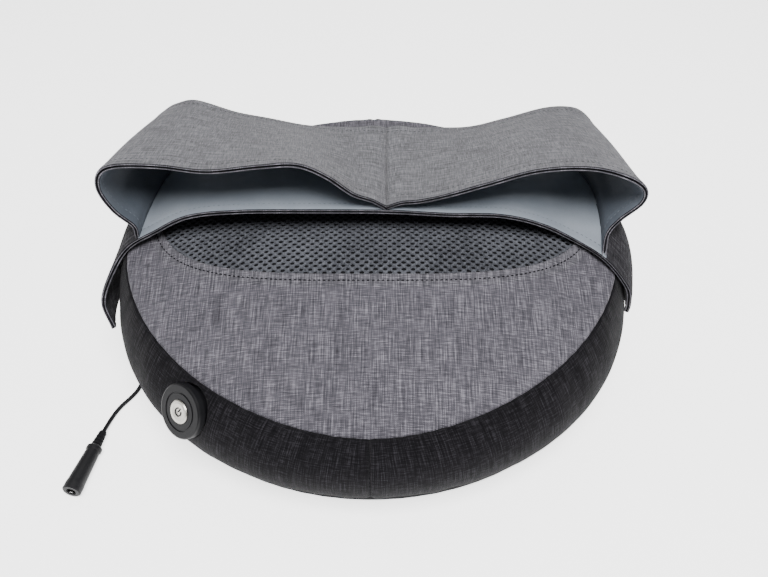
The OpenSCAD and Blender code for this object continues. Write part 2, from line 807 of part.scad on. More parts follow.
module carrier_screws() {
    color([0.60, 0.60, 0.62])
        for (q = [0:120:240])
            rotate([0, 0, q]) translate([10, 0, 0]) {
                translate([0, 0, carrier_low + 3.1]) cylinder(h = 1.8, r = 2.4);
                translate([0, 0, carrier_low - 8]) cylinder(h = 11.2, r = 1.25);
            }
}

module carrier_screws_left() {
    at_left_head() carrier_screws();
}

module carrier_screws_right() {
    at_right_head() carrier_screws();
}

module node_pins() {
    color([0.70, 0.70, 0.72])
        for (x = [-node_offset, node_offset])
            translate([x, 0, carrier_low + 0.5]) cylinder(h = 23.5, r = pin_r);
}

module node_pins_left() {
    at_left_head() node_pins();
}

module node_pins_right() {
    at_right_head() node_pins();
}

module node_washers() {
    color([0.90, 0.90, 0.88])
        for (x = [-node_offset, node_offset])
            translate([x, 0, carrier_low + carrier_t]) difference() {
                cylinder(h = node_low - carrier_low - carrier_t - 0.1, r = 7);
                translate([0, 0, -1]) cylinder(h = 5, r = pin_r + 0.05);
            }
}

module node_washers_left() {
    at_left_head() node_washers();
}

module node_washers_right() {
    at_right_head() node_washers();
}

// A massage node: a drum with a chamfered foot that closes in a dome, on its pin
module massage_node(x, d, top) {
    shoulder = node_low + 9;
    color([0.82, 0.42, 0.20])
        translate([x, 0, 0]) difference() {
            rotate_extrude()
                polygon(concat(
                    [[0, node_low], [d / 2 - 2, node_low], [d / 2, node_low + 2]],
                    [for (q = [0:7.5:90])
                        [d / 2 * cos(q), shoulder + (top - shoulder) * sin(q)]]));
            translate([0, 0, node_low - 1]) cylinder(h = 18, r = pin_r + 0.05);
        }
}

module massage_node_left_large() {
    at_left_head() massage_node(-node_offset, node_d, 88);
}

module massage_node_left_small() {
    at_left_head() massage_node(node_offset, node_d - 4, 84);
}

module massage_node_right_large() {
    at_right_head() massage_node(node_offset, node_d, 88);
}

module massage_node_right_small() {
    at_right_head() massage_node(-node_offset, node_d - 4, 84);
}

// ---- Electronics and leads ----
board_low = 16.4;
board_t = 1.6;

module control_board() {
    color([0.05, 0.35, 0.18])
        difference() {
            translate([-32, board_y - 12, board_low]) cube([64, 24, board_t]);
            for (s = board_spots)
                translate([s[0], board_y + s[1], board_low - 1]) cylinder(h = 4, r = 1.3);
        }
}

module driver_chip() {
    color([0.08, 0.08, 0.08])
        translate([-6, board_y - 5, board_low + board_t]) cube([12, 8, 2]);
}

module board_capacitor() {
    color([0.15, 0.18, 0.35])
        translate([-14, board_y + 5, board_low + board_t]) cylinder(h = 6, r = 4);
}

module board_connectors() {
    color([0.92, 0.90, 0.82])
        for (x = [-22, 14])
            translate([x, board_y - 11.5, board_low + board_t]) cube([8, 6, 5]);
}

module board_screws() {
    color([0.60, 0.60, 0.62])
        for (s = board_spots)
            translate([s[0], board_y + s[1], 0]) {
                translate([0, 0, board_low + board_t]) cylinder(h = 1.4, r = 2.2);
                translate([0, 0, board_low - 3]) cylinder(h = 5, r = 1);
            }
}

// Leads inside the cushion, as round-number points
motor_route = [[9, 106.7, 30], [11, 107.6, 28.5], [15, 107.6, 25], [19, 105, 20], [22, 98, 16],
               [23, 88, 14.6], [23, 60, 14.6], [23, 30, 14.6], [23, 0, 14.6], [30, -6, 15],
               [36, -14, 16.5], [36, -24, 18.5], [34, -31, 20.5], [29, -33.5, 21.2], [22.1, -33.5, 21.2]];
switch_route = [[-96.3, -90.2, 41.5], [-70, -66.4, 31.6], [-44, -43, 22], [-38, -37, 20.8],
                [-31, -35.2, 21.2], [-22.1, -35.2, 21.2]];
supply_route = [[-151.7, -35.7, 14.9], [-129.4, -20.9, 17], [-107, -6, 19], [-97, -4, 19], [-80, -10, 18.6],
                [-60, -24, 18.6], [-42, -28, 19.5], [-34, -31.5, 21], [-22.1, -32.2, 21.2]];
lead_d = 2.2;

module motor_lead() {
    color([0.65, 0.08, 0.08]) tube(motor_route, lead_d, 6);
}

module switch_lead() {
    color([0.12, 0.12, 0.12]) tube(switch_route, lead_d, 6);
}

module supply_lead() {
    color([0.12, 0.12, 0.12]) tube(supply_route, lead_d, 6);
}

// ---- Power pigtail ----
gland_at = [-155, -39, 11];
gland_r = 3.4;
gland_nose = 7;

module at_gland() {
    translate(gland_at) rotate([0, 130, 225]) children();
}

module gland_hole() {
    at_gland() {
        translate([0, 0, -15]) cylinder(h = 30, r = gland_r + 0.1);
        translate([0, 0, 0.2]) cylinder(h = 10, r = 5.3);
    }
}

module cable_gland() {
    color([0.05, 0.05, 0.05])
        at_gland() difference() {
            rotate_extrude()
                polygon([[0, -6], [gland_r, -6], [gland_r, 0.8], [5, 0.8], [5, 2.2],
                         [gland_r, 3], [cord_d / 2 + 0.6, gland_nose], [0, gland_nose]]);
            translate([0, 0, -7]) cylinder(h = 20, d = cord_d + 0.1);
        }
}

// The pigtail's route: out of the gland, down under the wall, then along the surface
lie_z = 1.5;
cord_route = [
    [-152.4, -36.4, 14.1], [-155, -39, 11], [-158.8, -42.8, 6.5], [-160.3, -44.4, 4.7],
    [-161.6, -46.8, 3], [-162.8, -50.2, 1.9], [-164.4, -54, lie_z], [-167, -58.6, lie_z],
    [-170, -63, lie_z], [-172.6, -67.6, lie_z], [-174.6, -72.6, lie_z], [-175.8, -77.6, 1.9],
    [-176.2, -82.4, 3.2], [-176.3, -86, 4.4], [-176.8, -90, 4.8], [-177.5, -94, 4.9]];
socket_at = [-176.5, -88, 4.75];
relief_l = 12;
socket_l = 33;

module at_socket() {
    translate(socket_at) rotate([0, 88.4, 260.5]) children();
}

module dc_cord() {
    color([0.05, 0.05, 0.05]) tube(cord_route, cord_d, 8);
}

module socket_relief() {
    color([0.07, 0.07, 0.07])
        at_socket() difference() {
            union() {
                rotate_extrude()
                    polygon([[0, 0], [2.1, 0], [2.7, relief_l - 1], [2.7, relief_l], [0, relief_l]]);
                for (k = [0:3])
                    translate([0, 0, 1.2 + 2.6 * k]) cylinder(h = 1.4, r = 2.6 + 0.22 * k);
            }
            translate([0, 0, -1]) cylinder(h = relief_l + 2, d = cord_d + 0.4);
        }
}

module dc_socket() {
    r = socket_d / 2;
    color([0.08, 0.08, 0.08])
        at_socket() translate([0, 0, relief_l]) difference() {
            rotate_extrude()
                polygon([[0, 0], [4.3, 0], [5, 0.8], [5, 3], [4.5, 3.6], [4.7, 8],
                         [r - 0.3, 26], [r, 28], [r, socket_l - 0.6], [r - 0.6, socket_l], [0, socket_l]]);
            translate([0, 0, -1]) cylinder(h = 9, d = cord_d + 0.2);
            translate([0, 0, socket_l - 12]) cylinder(h = 13, r = 3.2);
        }
}

module socket_contacts() {
    color([0.80, 0.78, 0.72])
        at_socket() translate([0, 0, relief_l + socket_l - 11.9]) {
            difference() {
                cylinder(h = 11.2, r = 3.15);
                translate([0, 0, 1.5]) cylinder(h = 12, r = 2.8);
            }
            translate([0, 0, 1]) cylinder(h = 9, r = 1.05);
        }
}

top_panel();
mesh_panel();
window_hem();
side_wall_left();
side_wall_right();
bottom_panel();
zip_tape();
zip_teeth();
zip_slider();
foam_body();
inner_liner();
strap_band();
hand_loop_left();
hand_loop_right();
power_housing();
power_button();
switch_plunger();
button_switch();
switch_board();
housing_cap();
housing_nut();
lower_housing();
upper_housing();
housing_screws();
motor();
motor_bracket();
motor_screws();
worm_shaft();
worm_bushes();
worm_wheel_left();
worm_wheel_right();
wheel_bush_left();
wheel_bush_right();
wheel_axles();
axle_clips();
head_carrier_left();
head_carrier_right();
carrier_screws_left();
carrier_screws_right();
node_pins_left();
node_pins_right();
node_washers_left();
node_washers_right();
massage_node_left_large();
massage_node_left_small();
massage_node_right_large();
massage_node_right_small();
control_board();
driver_chip();
board_capacitor();
board_connectors();
board_screws();
motor_lead();
switch_lead();
supply_lead();
cable_gland();
dc_cord();
socket_relief();
dc_socket();
socket_contacts();
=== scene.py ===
"""Looks model of a shiatsu neck massager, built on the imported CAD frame.

Metres, Z up. Shapes are worked out in millimetres and scaled as the meshes are made.
"""

import json
import math

import bmesh
import bpy
import numpy as np
from mathutils import Matrix, Vector


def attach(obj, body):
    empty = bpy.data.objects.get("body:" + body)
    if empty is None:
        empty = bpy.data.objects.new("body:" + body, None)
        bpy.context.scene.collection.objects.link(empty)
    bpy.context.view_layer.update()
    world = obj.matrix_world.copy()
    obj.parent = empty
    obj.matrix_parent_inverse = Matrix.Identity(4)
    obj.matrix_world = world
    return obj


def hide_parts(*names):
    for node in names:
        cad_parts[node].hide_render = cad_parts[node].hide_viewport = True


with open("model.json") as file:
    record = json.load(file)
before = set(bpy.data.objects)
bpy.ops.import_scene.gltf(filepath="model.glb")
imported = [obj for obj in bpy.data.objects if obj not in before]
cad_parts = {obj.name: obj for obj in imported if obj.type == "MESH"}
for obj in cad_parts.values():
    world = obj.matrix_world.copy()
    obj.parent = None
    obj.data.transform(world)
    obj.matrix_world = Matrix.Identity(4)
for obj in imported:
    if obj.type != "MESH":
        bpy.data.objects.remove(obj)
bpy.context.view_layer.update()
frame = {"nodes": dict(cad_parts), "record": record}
MM = 0.001


# ---------------------------------------------------------------- camera
def look_at(obj, target):
    obj.rotation_euler = (Vector(target) - obj.location).to_track_quat("-Z", "Y").to_euler()


CAMERA_AT = (0.008, -0.3564, 0.4064)
CAMERA_TARGET = (0.008, 0, 0.05)
LENS = 33.75  # millimetres, on a sensor 36 mm wide

camera_data = bpy.data.cameras.new("camera")
camera_data.lens = LENS
camera_data.sensor_width = 36
camera_data.sensor_fit = "HORIZONTAL"
camera = bpy.data.objects.new("camera", camera_data)
camera.location = CAMERA_AT
look_at(camera, CAMERA_TARGET)
bpy.context.scene.collection.objects.link(camera)
bpy.context.scene.camera = camera


# ---------------------------------------------------------------- node graphs
class Graph:
    """A material's node tree with short calls for the nodes used here."""

    def __init__(self, name):
        self.material = bpy.data.materials.new(name)
        self.material.use_nodes = True
        self.tree = self.material.node_tree
        self.shader = self.tree.nodes["Principled BSDF"]

    def add(self, kind, **settings):
        node = self.tree.nodes.new(kind)
        for key, value in settings.items():
            setattr(node, key, value)
        return node

    def link(self, source, target):
        self.tree.links.new(source, target)

    def weave_at(self, scale):
        """Cloth coordinates in metres, stretched by scale."""
        place = self.add("ShaderNodeUVMap", uv_map="weave")
        return self.scaled(place.outputs["UV"], scale)

    def object_at(self, scale):
        place = self.add("ShaderNodeTexCoord")
        return self.scaled(place.outputs["Object"], scale)

    def scaled(self, source, scale):
        mapping = self.add("ShaderNodeMapping")
        mapping.inputs["Scale"].default_value = scale
        self.link(source, mapping.inputs["Vector"])
        return mapping.outputs["Vector"]

    def noise(self, vector, detail=2.0, rough=0.5, scale=1.0):
        node = self.add("ShaderNodeTexNoise")
        node.inputs["Scale"].default_value = scale
        node.inputs["Detail"].default_value = detail
        node.inputs["Roughness"].default_value = rough
        self.link(vector, node.inputs["Vector"])
        return node.outputs["Fac"]

    def math(self, operation, a, b=None, c=None):
        node = self.add("ShaderNodeMath", operation=operation)
        for socket, value in zip(node.inputs, (a, b, c)):
            if value is None:
                continue
            if isinstance(value, (int, float)):
                socket.default_value = value
            else:
                self.link(value, socket)
        return node.outputs[0]

    def ramp(self, fac, stops):
        node = self.add("ShaderNodeValToRGB")
        while len(node.color_ramp.elements) < len(stops):
            node.color_ramp.elements.new(0.5)
        for element, (place, color) in zip(node.color_ramp.elements, stops):
            element.position = place
            element.color = (*color, 1)
        self.link(fac, node.inputs["Fac"])
        return node.outputs["Color"]

    def bump(self, height, distance, strength):
        node = self.add("ShaderNodeBump")
        node.inputs["Strength"].default_value = strength
        node.inputs["Distance"].default_value = distance
        self.link(height, node.inputs["Height"])
        return node.outputs["Normal"]

    def rough(self, source, low, high):
        """Roughness that runs from low to high with the source."""
        node = self.add("ShaderNodeMapRange")
        node.inputs["To Min"].default_value = low
        node.inputs["To Max"].default_value = high
        self.link(source, node.inputs["Value"])
        self.link(node.outputs[0], self.shader.inputs["Roughness"])

    def set(self, **values):
        for key, value in values.items():
            self.shader.inputs[key.replace("_", " ")].default_value = value


THREAD_PITCH = 0.00095  # metres from one thread of the weave to the next but one


def heather(name, dark, mid, light, contrast=1.0, sheen=0.08, gloss=0.15, turned=False):
    """Linen-look melange: fine slubs along v (along u if turned), fine cross threads, a weave."""
    g = Graph(name)

    def grain(across, along, detail, rough):
        scale = (along, across, 1) if turned else (across, along, 1)
        return g.noise(g.weave_at(scale), detail=detail, rough=rough)

    # each layer's cell counts per metre across and along the slubs, and its weight
    layers = [(grain(1250, 42, 2.0, 0.55), 1.15), (grain(2300, 110, 1.5, 0.5), 0.95),
              (grain(80, 1350, 2.0, 0.6), 0.95), (grain(190, 2300, 1.5, 0.5), 0.85),
              (grain(26, 24, 3.0, 0.5), 0.16)]
    place = g.add("ShaderNodeSeparateXYZ")
    g.link(g.weave_at((1, 1, 1)), place.inputs[0])
    waves = 2 * math.pi / THREAD_PITCH
    warp = g.math("SINE", g.math("MULTIPLY", place.outputs["X"], waves))
    weft = g.math("SINE", g.math("MULTIPLY", place.outputs["Y"], waves))
    thread = g.math("MULTIPLY", warp, weft)
    total = g.math("MULTIPLY_ADD", thread, 0.06, 0.5)
    for layer, weight in layers:
        total = g.math("MULTIPLY_ADD", g.math("SUBTRACT", layer, 0.5), weight * contrast, total)
    color = g.ramp(total, [(0.05, dark), (0.5, mid), (0.95, light)])
    g.link(color, g.shader.inputs["Base Color"])
    g.rough(total, 0.95, 0.78)
    relief = g.math("MULTIPLY_ADD", thread, 0.35, g.math("MULTIPLY", total, 0.6))
    g.link(g.bump(relief, 0.0003, 0.8), g.shader.inputs["Normal"])
    g.set(Sheen_Weight=sheen, Sheen_Roughness=0.5, Specular_IOR_Level=gloss)
    return g.material


def knit(name, dark, light):
    """Spacer mesh yarn: short bright loops on a darker ground."""
    g = Graph(name)
    loops = g.noise(g.object_at((900, 520, 900)), detail=3, rough=0.6)
    shade = g.noise(g.object_at((30, 30, 30)), detail=2)
    total = g.math("MULTIPLY_ADD", g.math("SUBTRACT", shade, 0.5), 0.5, loops)
    g.link(g.ramp(total, [(0.25, dark), (0.75, light)]), g.shader.inputs["Base Color"])
    g.link(g.bump(loops, 0.0004, 0.9), g.shader.inputs["Normal"])
    g.rough(loops, 0.85, 0.68)
    g.set(Sheen_Weight=0.04, Specular_IOR_Level=0.2)
    return g.material


def grained(name, dark, light, cell, roughness, relief, sheen=0.0, gloss=0.3):
    """Leather-look or moulded grain of a given cell size in metres."""
    g = Graph(name)
    coordinate = g.object_at((1, 1, 1))
    cells = g.add("ShaderNodeTexVoronoi", feature="SMOOTH_F1")
    cells.inputs["Scale"].default_value = 1 / cell
    g.link(coordinate, cells.inputs["Vector"])
    cloud = g.noise(coordinate, detail=4, scale=28)
    fine = g.noise(coordinate, detail=3, scale=1 / cell * 1.7)
    mottle = g.math("MULTIPLY_ADD", g.math("SUBTRACT", fine, 0.5), 0.35, cloud)
    g.link(g.ramp(mottle, [(0.3, dark), (0.7, light)]), g.shader.inputs["Base Color"])
    g.rough(fine, roughness - 0.06, roughness + 0.08)
    height = g.math("MULTIPLY_ADD", cells.outputs["Distance"], 0.7, g.math("MULTIPLY", fine, 0.5))
    g.link(g.bump(height, relief, 0.7), g.shader.inputs["Normal"])
    g.set(Sheen_Weight=sheen, Specular_IOR_Level=gloss)
    return g.material


def metal(name, dark, light, roughness, stretch=(1, 1, 1)):
    """Turned, pressed or plated metal with fine tool marks."""
    g = Graph(name)
    marks = g.noise(g.object_at(tuple(1800 * s for s in stretch)), detail=3, rough=0.6)
    cloud = g.noise(g.object_at((70, 70, 70)), detail=4)
    total = g.math("MULTIPLY_ADD", g.math("SUBTRACT", marks, 0.5), 0.4, cloud)
    g.link(g.ramp(total, [(0.3, dark), (0.7, light)]), g.shader.inputs["Base Color"])
    g.rough(total, roughness - 0.07, roughness + 0.1)
    g.link(g.bump(marks, 0.00004, 0.4), g.shader.inputs["Normal"])
    g.set(Metallic=1.0)
    return g.material


def foam_look(name):
    """Open-cell foam: fine pores in a pale yellow."""
    g = Graph(name)
    coordinate = g.object_at((1, 1, 1))
    pores = g.add("ShaderNodeTexVoronoi", feature="F1")
    pores.inputs["Scale"].default_value = 650
    g.link(coordinate, pores.inputs["Vector"])
    cloud = g.noise(coordinate, detail=4, scale=40)
    total = g.math("MULTIPLY_ADD", pores.outputs["Distance"], -0.5, cloud)
    g.link(g.ramp(total, [(0.0, (0.52, 0.46, 0.31)), (0.6, (0.82, 0.78, 0.62))]),
           g.shader.inputs["Base Color"])
    g.link(g.bump(pores.outputs["Distance"], 0.0006, 0.8), g.shader.inputs["Normal"])
    g.set(Roughness=0.95, Specular_IOR_Level=0.1)
    return g.material


CLOTH_TOP = heather("cloth_top", (0.022, 0.021, 0.026), (0.073, 0.069, 0.082), (0.24, 0.228, 0.262),
                    contrast=0.85)
CLOTH_WALL = heather("cloth_wall", (0.0015, 0.0015, 0.002), (0.0046, 0.0043, 0.0054), (0.028, 0.026, 0.031),
                     contrast=0.85, sheen=0.03, gloss=0.08)
# painted shade: the strap's heather cloth darkened as if in shadow, for the band's lower ply and for its
# upper ply outside the lined part
CLOTH_BAND_PAINTED_SHADE = heather("cloth_band_painted_shade", (0.006, 0.006, 0.007), (0.020, 0.019, 0.022), (0.075, 0.072, 0.080),
                     sheen=0.03, gloss=0.08, turned=True)
CLOTH_STRAP = heather("cloth_strap", (0.042, 0.042, 0.046), (0.114, 0.113, 0.122), (0.25, 0.25, 0.27),
                      contrast=0.85, turned=True)
CLOTH_HEM = heather("cloth_hem", (0.020, 0.020, 0.025), (0.076, 0.073, 0.084), (0.23, 0.22, 0.25))
CLOTH_BASE = heather("cloth_base", (0.002, 0.002, 0.003), (0.004, 0.004, 0.005), (0.010, 0.010, 0.011),
                     contrast=0.7, sheen=0.02)
LINING = grained("strap_lining", (0.165, 0.188, 0.218), (0.225, 0.250, 0.284), 0.0011, 0.5, 0.00012,
                 sheen=0.05)
# painted shade: a darker copy of the strap lining, standing in for the shade inside the loops, on the
# loops' lower plies
LINING_PAINTED_SHADE = grained("loop_lining", (0.060, 0.070, 0.086), (0.098, 0.112, 0.134), 0.0011, 0.55, 0.00012,
                        sheen=0.03, gloss=0.15)
BINDING = grained("black_binding", (0.003, 0.003, 0.004), (0.008, 0.008, 0.010), 0.0009, 0.75, 0.0002,
                  gloss=0.1)
MESH_YARN = knit("mesh_yarn", (0.016, 0.017, 0.022), (0.115, 0.12, 0.138))
THREAD = knit("sewing_thread", (0.012, 0.012, 0.015), (0.05, 0.05, 0.056))
THREAD_BLUE = knit("lining_thread", (0.06, 0.072, 0.088), (0.17, 0.19, 0.22))
BLACK_GLOSS = grained("housing_black", (0.004, 0.004, 0.005), (0.008, 0.008, 0.009), 0.0012, 0.42, 0.00003,
                      gloss=0.16)
SILVER = metal("button_silver", (0.40, 0.385, 0.35), (0.58, 0.56, 0.51), 0.34, (0.15, 1, 1))
BLACK_PLASTIC = grained("black_plastic", (0.006, 0.006, 0.007), (0.012, 0.012, 0.013), 0.0008, 0.5, 0.00005,
                        gloss=0.18)
LIGHT_PLASTIC = grained("nylon", (0.70, 0.69, 0.63), (0.82, 0.81, 0.76), 0.0009, 0.45, 0.00003)
NODE_PLASTIC = grained("node_plastic", (0.50, 0.13, 0.04), (0.68, 0.21, 0.07), 0.0010, 0.38, 0.00003)
BOARD = grained("solder_mask", (0.006, 0.10, 0.035), (0.012, 0.16, 0.06), 0.0014, 0.4, 0.00004)
GREY_METAL = metal("grey_metal", (0.36, 0.36, 0.38), (0.52, 0.52, 0.54), 0.4, (1, 0.1, 1))
SCREW_METAL = metal("screw_metal", (0.46, 0.46, 0.48), (0.66, 0.66, 0.68), 0.3)
BRIGHT_METAL = metal("bright_metal", (0.70, 0.70, 0.70), (0.86, 0.86, 0.86), 0.16)
BRASS = metal("brass_metal", (0.52, 0.36, 0.13), (0.76, 0.57, 0.26), 0.3)
SHEATH = grained("cord_sheath", (0.005, 0.005, 0.006), (0.010, 0.010, 0.011), 0.0007, 0.48, 0.00004,
                 gloss=0.15)
RUBBER = grained("black_rubber", (0.005, 0.005, 0.006), (0.010, 0.010, 0.011), 0.0009, 0.62, 0.00006,
                 gloss=0.12)
FOAM = foam_look("foam")

SLOT_LOOKS = {
    "heather_cloth": CLOTH_TOP, "wall_cloth": CLOTH_WALL, "base_cloth": CLOTH_BASE,
    "spacer_mesh": MESH_YARN, "hem_tape": CLOTH_HEM, "foam": FOAM, "strap_cloth": CLOTH_STRAP,
    "gloss_black": BLACK_GLOSS, "silver_paint": SILVER, "black_plastic": BLACK_PLASTIC,
    "light_plastic": LIGHT_PLASTIC, "node_plastic": NODE_PLASTIC, "green_board": BOARD,
    "grey_metal": GREY_METAL, "screw_steel": SCREW_METAL, "bright_metal": BRIGHT_METAL,
    "brass_part": BRASS, "wire_cover": SHEATH, "black_rubber": RUBBER,
}
node_slots = {row["node"]: row["material_slot"] for row in frame["record"]["subparts"]}
for node_name, node_object in frame["nodes"].items():
    node_object.data.materials.clear()
    node_object.data.materials.append(SLOT_LOOKS[node_slots[node_name]])


# ---------------------------------------------------------------- meshes
def finish_piece(obj, replaced=(), body="root"):
    """Links a piece, hangs it on the body it rides and hides the CAD nodes it stands for."""
    bpy.context.scene.collection.objects.link(obj)
    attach(obj, body)
    if replaced:
        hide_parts(*replaced)
    return obj


def build(name, points, faces, corner_uv, materials, face_material):
    """An object from points in millimetres, with one uv pair for each face corner."""
    mesh = bpy.data.meshes.new(name)
    mesh.from_pydata((np.asarray(points, float) * MM).tolist(), [], [list(f) for f in faces])
    layer = mesh.uv_layers.new(name="weave")
    layer.data.foreach_set("uv", (np.asarray(corner_uv, float) * MM).ravel())
    for material in materials:
        mesh.materials.append(material)
    mesh.polygons.foreach_set("material_index", face_material)
    mesh.polygons.foreach_set("use_smooth", [True] * len(mesh.polygons))
    mesh.validate()
    mesh.update()
    return bpy.data.objects.new(name, mesh)


def signed_volume(points, quads):
    """Positive where the faces look outwards."""
    a, b, c, d = (points[quads[:, k]] for k in range(4))
    return float(np.sum(a * np.cross(b, c)) + np.sum(a * np.cross(c, d)))


def tube_of_sections(name, sections, uv, materials, column_material, ring):
    """A closed skin through sections of 2m points. ring says whether the row of sections
    closes on itself; otherwise both ends are closed across the section."""
    count, k = sections.shape[:2]
    points = sections.reshape(-1, 3)
    rows = count if ring else count - 1
    i, j = np.meshgrid(np.arange(rows), np.arange(k), indexing="ij")
    i, j = i.ravel(), j.ravel()
    i2, j2 = (i + 1) % count, (j + 1) % k
    quads = np.stack([i * k + j, i * k + j2, i2 * k + j2, i2 * k + j], 1)
    corners = np.stack([uv[i, j], uv[i, j + 1], uv[i + 1, j + 1], uv[i + 1, j]], 1)
    kinds = np.asarray(column_material)[j]
    if not ring:
        m = k // 2
        steps = np.arange(m - 1)
        first = np.stack([steps + 1, steps, k - 1 - steps, k - 2 - steps], 1)
        last = np.stack([steps, steps + 1, k - 2 - steps, k - 1 - steps], 1) + (count - 1) * k
        quads = np.concatenate([quads, first, last])
        corners = np.concatenate([corners, np.zeros((2 * (m - 1), 4, 2))])
        kinds = np.concatenate([kinds, np.full(2 * (m - 1), column_material[0])])
    if signed_volume(points, quads) < 0:
        quads, corners = quads[:, ::-1], corners[:, ::-1]
    return build(name, points, quads.tolist(), corners.reshape(-1, 2), materials, kinds.tolist())


def plan_uv(sections):
    """Weave coordinates of a ring of sections as seen from above."""
    across = np.concatenate([sections[..., :2], sections[:, :1, :2]], 1)
    return np.concatenate([across, across[:1]], 0)


def cut(obj, cutters):
    """Takes closed cutter meshes out of an object."""
    bpy.context.scene.collection.objects.link(obj)
    for cutter in cutters:
        bpy.context.scene.collection.objects.link(cutter)
        modifier = obj.modifiers.new("cut", "BOOLEAN")
        modifier.operation = "DIFFERENCE"
        modifier.solver = "EXACT"
        modifier.object = cutter
    bpy.context.view_layer.update()
    evaluated = obj.evaluated_get(bpy.context.evaluated_depsgraph_get())
    mesh = bpy.data.meshes.new_from_object(evaluated)
    obj.modifiers.clear()
    obj.data = mesh
    for cutter in cutters:
        bpy.data.objects.remove(cutter)
    bpy.context.scene.collection.objects.unlink(obj)
    return obj


def drum(radius, low, high, matrix, sides=72):
    """A closed cylinder, for cutting."""
    bm = bmesh.new()
    bmesh.ops.create_cone(bm, cap_ends=True, segments=sides, radius1=radius * MM,
                          radius2=radius * MM, depth=(high - low) * MM)
    bm.transform(matrix @ Matrix.Translation((0, 0, (low + high) / 2 * MM)))
    mesh = bpy.data.meshes.new("cutter")
    bm.to_mesh(mesh)
    bm.free()
    return bpy.data.objects.new("cutter", mesh)


def placed(at, turn_y, turn_z):
    """Matrix that turns about Y, then about Z, then moves to a place in millimetres."""
    return (Matrix.Translation([c * MM for c in at]) @ Matrix.Rotation(math.radians(turn_z), 4, "Z")
            @ Matrix.Rotation(math.radians(turn_y), 4, "Y"))


def arc_lengths(points):
    steps = np.linalg.norm(np.diff(points, axis=0), axis=1)
    return np.concatenate([[0], np.cumsum(steps)])


def stitches(name, lines, material, pitch=3.2, length=2.3, thick=0.45, bury=0.1):
    """Rows of sewn stitches along lines of (points, normals)."""
    sides, shape = 6, ((-0.5, 0.25, -0.55), (-0.36, 0.85, 0.0), (0.0, 1.0, 0.28),
                       (0.36, 0.85, 0.0), (0.5, 0.25, -0.55))
    points, faces = [], []
    for path, normals in lines:
        lengths = arc_lengths(path)
        places = np.arange(pitch / 2, lengths[-1] - pitch / 2, pitch)
        for place in places:
            at = np.array([np.interp(place, lengths, path[:, k]) for k in range(3)])
            up = np.array([np.interp(place, lengths, normals[:, k]) for k in range(3)])
            ahead = np.array([np.interp(place + 0.5, lengths, path[:, k]) for k in range(3)]) - at
            ahead /= np.linalg.norm(ahead)
            up -= ahead * (up @ ahead)
            up /= np.linalg.norm(up)
            side = np.cross(ahead, up)
            start = len(points)
            for along, width, lift in shape:
                centre = at + ahead * along * length + up * (lift * thick - bury)
                for s in range(sides):
                    q = 2 * math.pi * s / sides
                    points.append(centre + width * thick / 2
                                  * (side * math.cos(q) + up * math.sin(q)))
            for ring in range(len(shape) - 1):
                for s in range(sides):
                    a, b = start + ring * sides + s, start + ring * sides + (s + 1) % sides
                    faces.append((a, b, b + sides, a + sides))
            faces.append(tuple(start + s for s in range(sides))[::-1])
            faces.append(tuple(start + (len(shape) - 1) * sides + s for s in range(sides)))
    corners = sum(len(f) for f in faces)
    obj = build(name, points, faces, np.zeros((corners, 2)), [material], [0] * len(faces))
    return finish_piece(obj)


# ---------------------------------------------------------------- cushion surfaces
BODY_A, FRONT_D, REAR_D = 172.0, 148.0, 153.0
CROWN_Z, FRONT_SEAM_Z, SIDE_SEAM_Z, REAR_SEAM_Z, BASE_SEAM_Z = 104.0, 62.0, 91.0, 99.0, 8.0
SEAM_A, SEAM_F, SEAM_R, SEAM_POWER = 161.0, 130.5, 141.0, 1.8
BASE_A, BASE_F, BASE_R, BASE_POWER = 160.0, 136.0, 141.0, 2.0
WINDOW_A, WINDOW_Y, WINDOW_HALF = 144.0, 33.0, 72.0
WINDOW_FRONT_POWER, WINDOW_REAR_POWER = 2.8, 2.1
COVER_T = 3.0


def signed_power(v, e):
    return np.sign(v) * np.abs(v) ** e


def egg(phi, a, f, r, power):
    """Outline of half width a, depth f to the front and r to the rear; power 2 is an ellipse."""
    c, s = np.cos(phi), np.sin(phi)
    return np.stack([a * signed_power(c, 2 / power),
                     np.where(s < 0, f, r) * signed_power(s, 2 / power)], -1)


def seam_z(s):
    """Height of the top seam, from the sine of its angle."""
    front = FRONT_SEAM_Z + (SIDE_SEAM_Z - FRONT_SEAM_Z) * (1 + s)
    rear = SIDE_SEAM_Z + (REAR_SEAM_Z - SIDE_SEAM_Z) * (1 - (1 - np.clip(s, 0, 1)) ** 3.6)
    return np.where(s < 0, front, rear)


def top_z(p):
    """Height of the crowned top panel over a point."""
    x, y = p[..., 0], p[..., 1]
    v = np.clip(y / np.where(y < 0, SEAM_F, SEAM_R), -1, 1)
    edge = seam_z(signed_power(v, SEAM_POWER / 2))
    front = FRONT_SEAM_Z + (CROWN_Z - FRONT_SEAM_Z) * (1 - np.clip(-v, 0, 1) ** 1.6)
    rear = REAR_SEAM_Z + (CROWN_Z - REAR_SEAM_Z) * (1 - v * v)
    middle = np.where(v < 0, front, rear)
    half = SEAM_A * np.clip(1 - np.abs(v) ** SEAM_POWER, 0, 1) ** (1 / SEAM_POWER)
    side = np.where(half < 0.5, 1, np.clip(np.abs(x) / np.maximum(half, 0.5), 0, 1))
    return middle + (edge - middle) * side ** 2.4


def wall_point(phi, t, inset=0.0):
    """Points of the bulging wall at angles phi, a share t of the way down from the top seam."""
    w = max(0, math.sin(math.pi * t)) ** 0.8

    def mix(a, b, c):
        return (a + (b - a) * t) * (1 - w) + c * w

    a = mix(SEAM_A, BASE_A, BODY_A) - inset
    f = mix(SEAM_F, BASE_F, FRONT_D) - inset
    r = mix(SEAM_R, BASE_R, REAR_D) - inset
    power = mix(SEAM_POWER, BASE_POWER, BASE_POWER)
    p = egg(phi, a, f, r, power)
    top = seam_z(np.sin(phi)) - 0.3
    return np.concatenate([p, (top + (BASE_SEAM_Z - top) * t)[..., None]], -1)


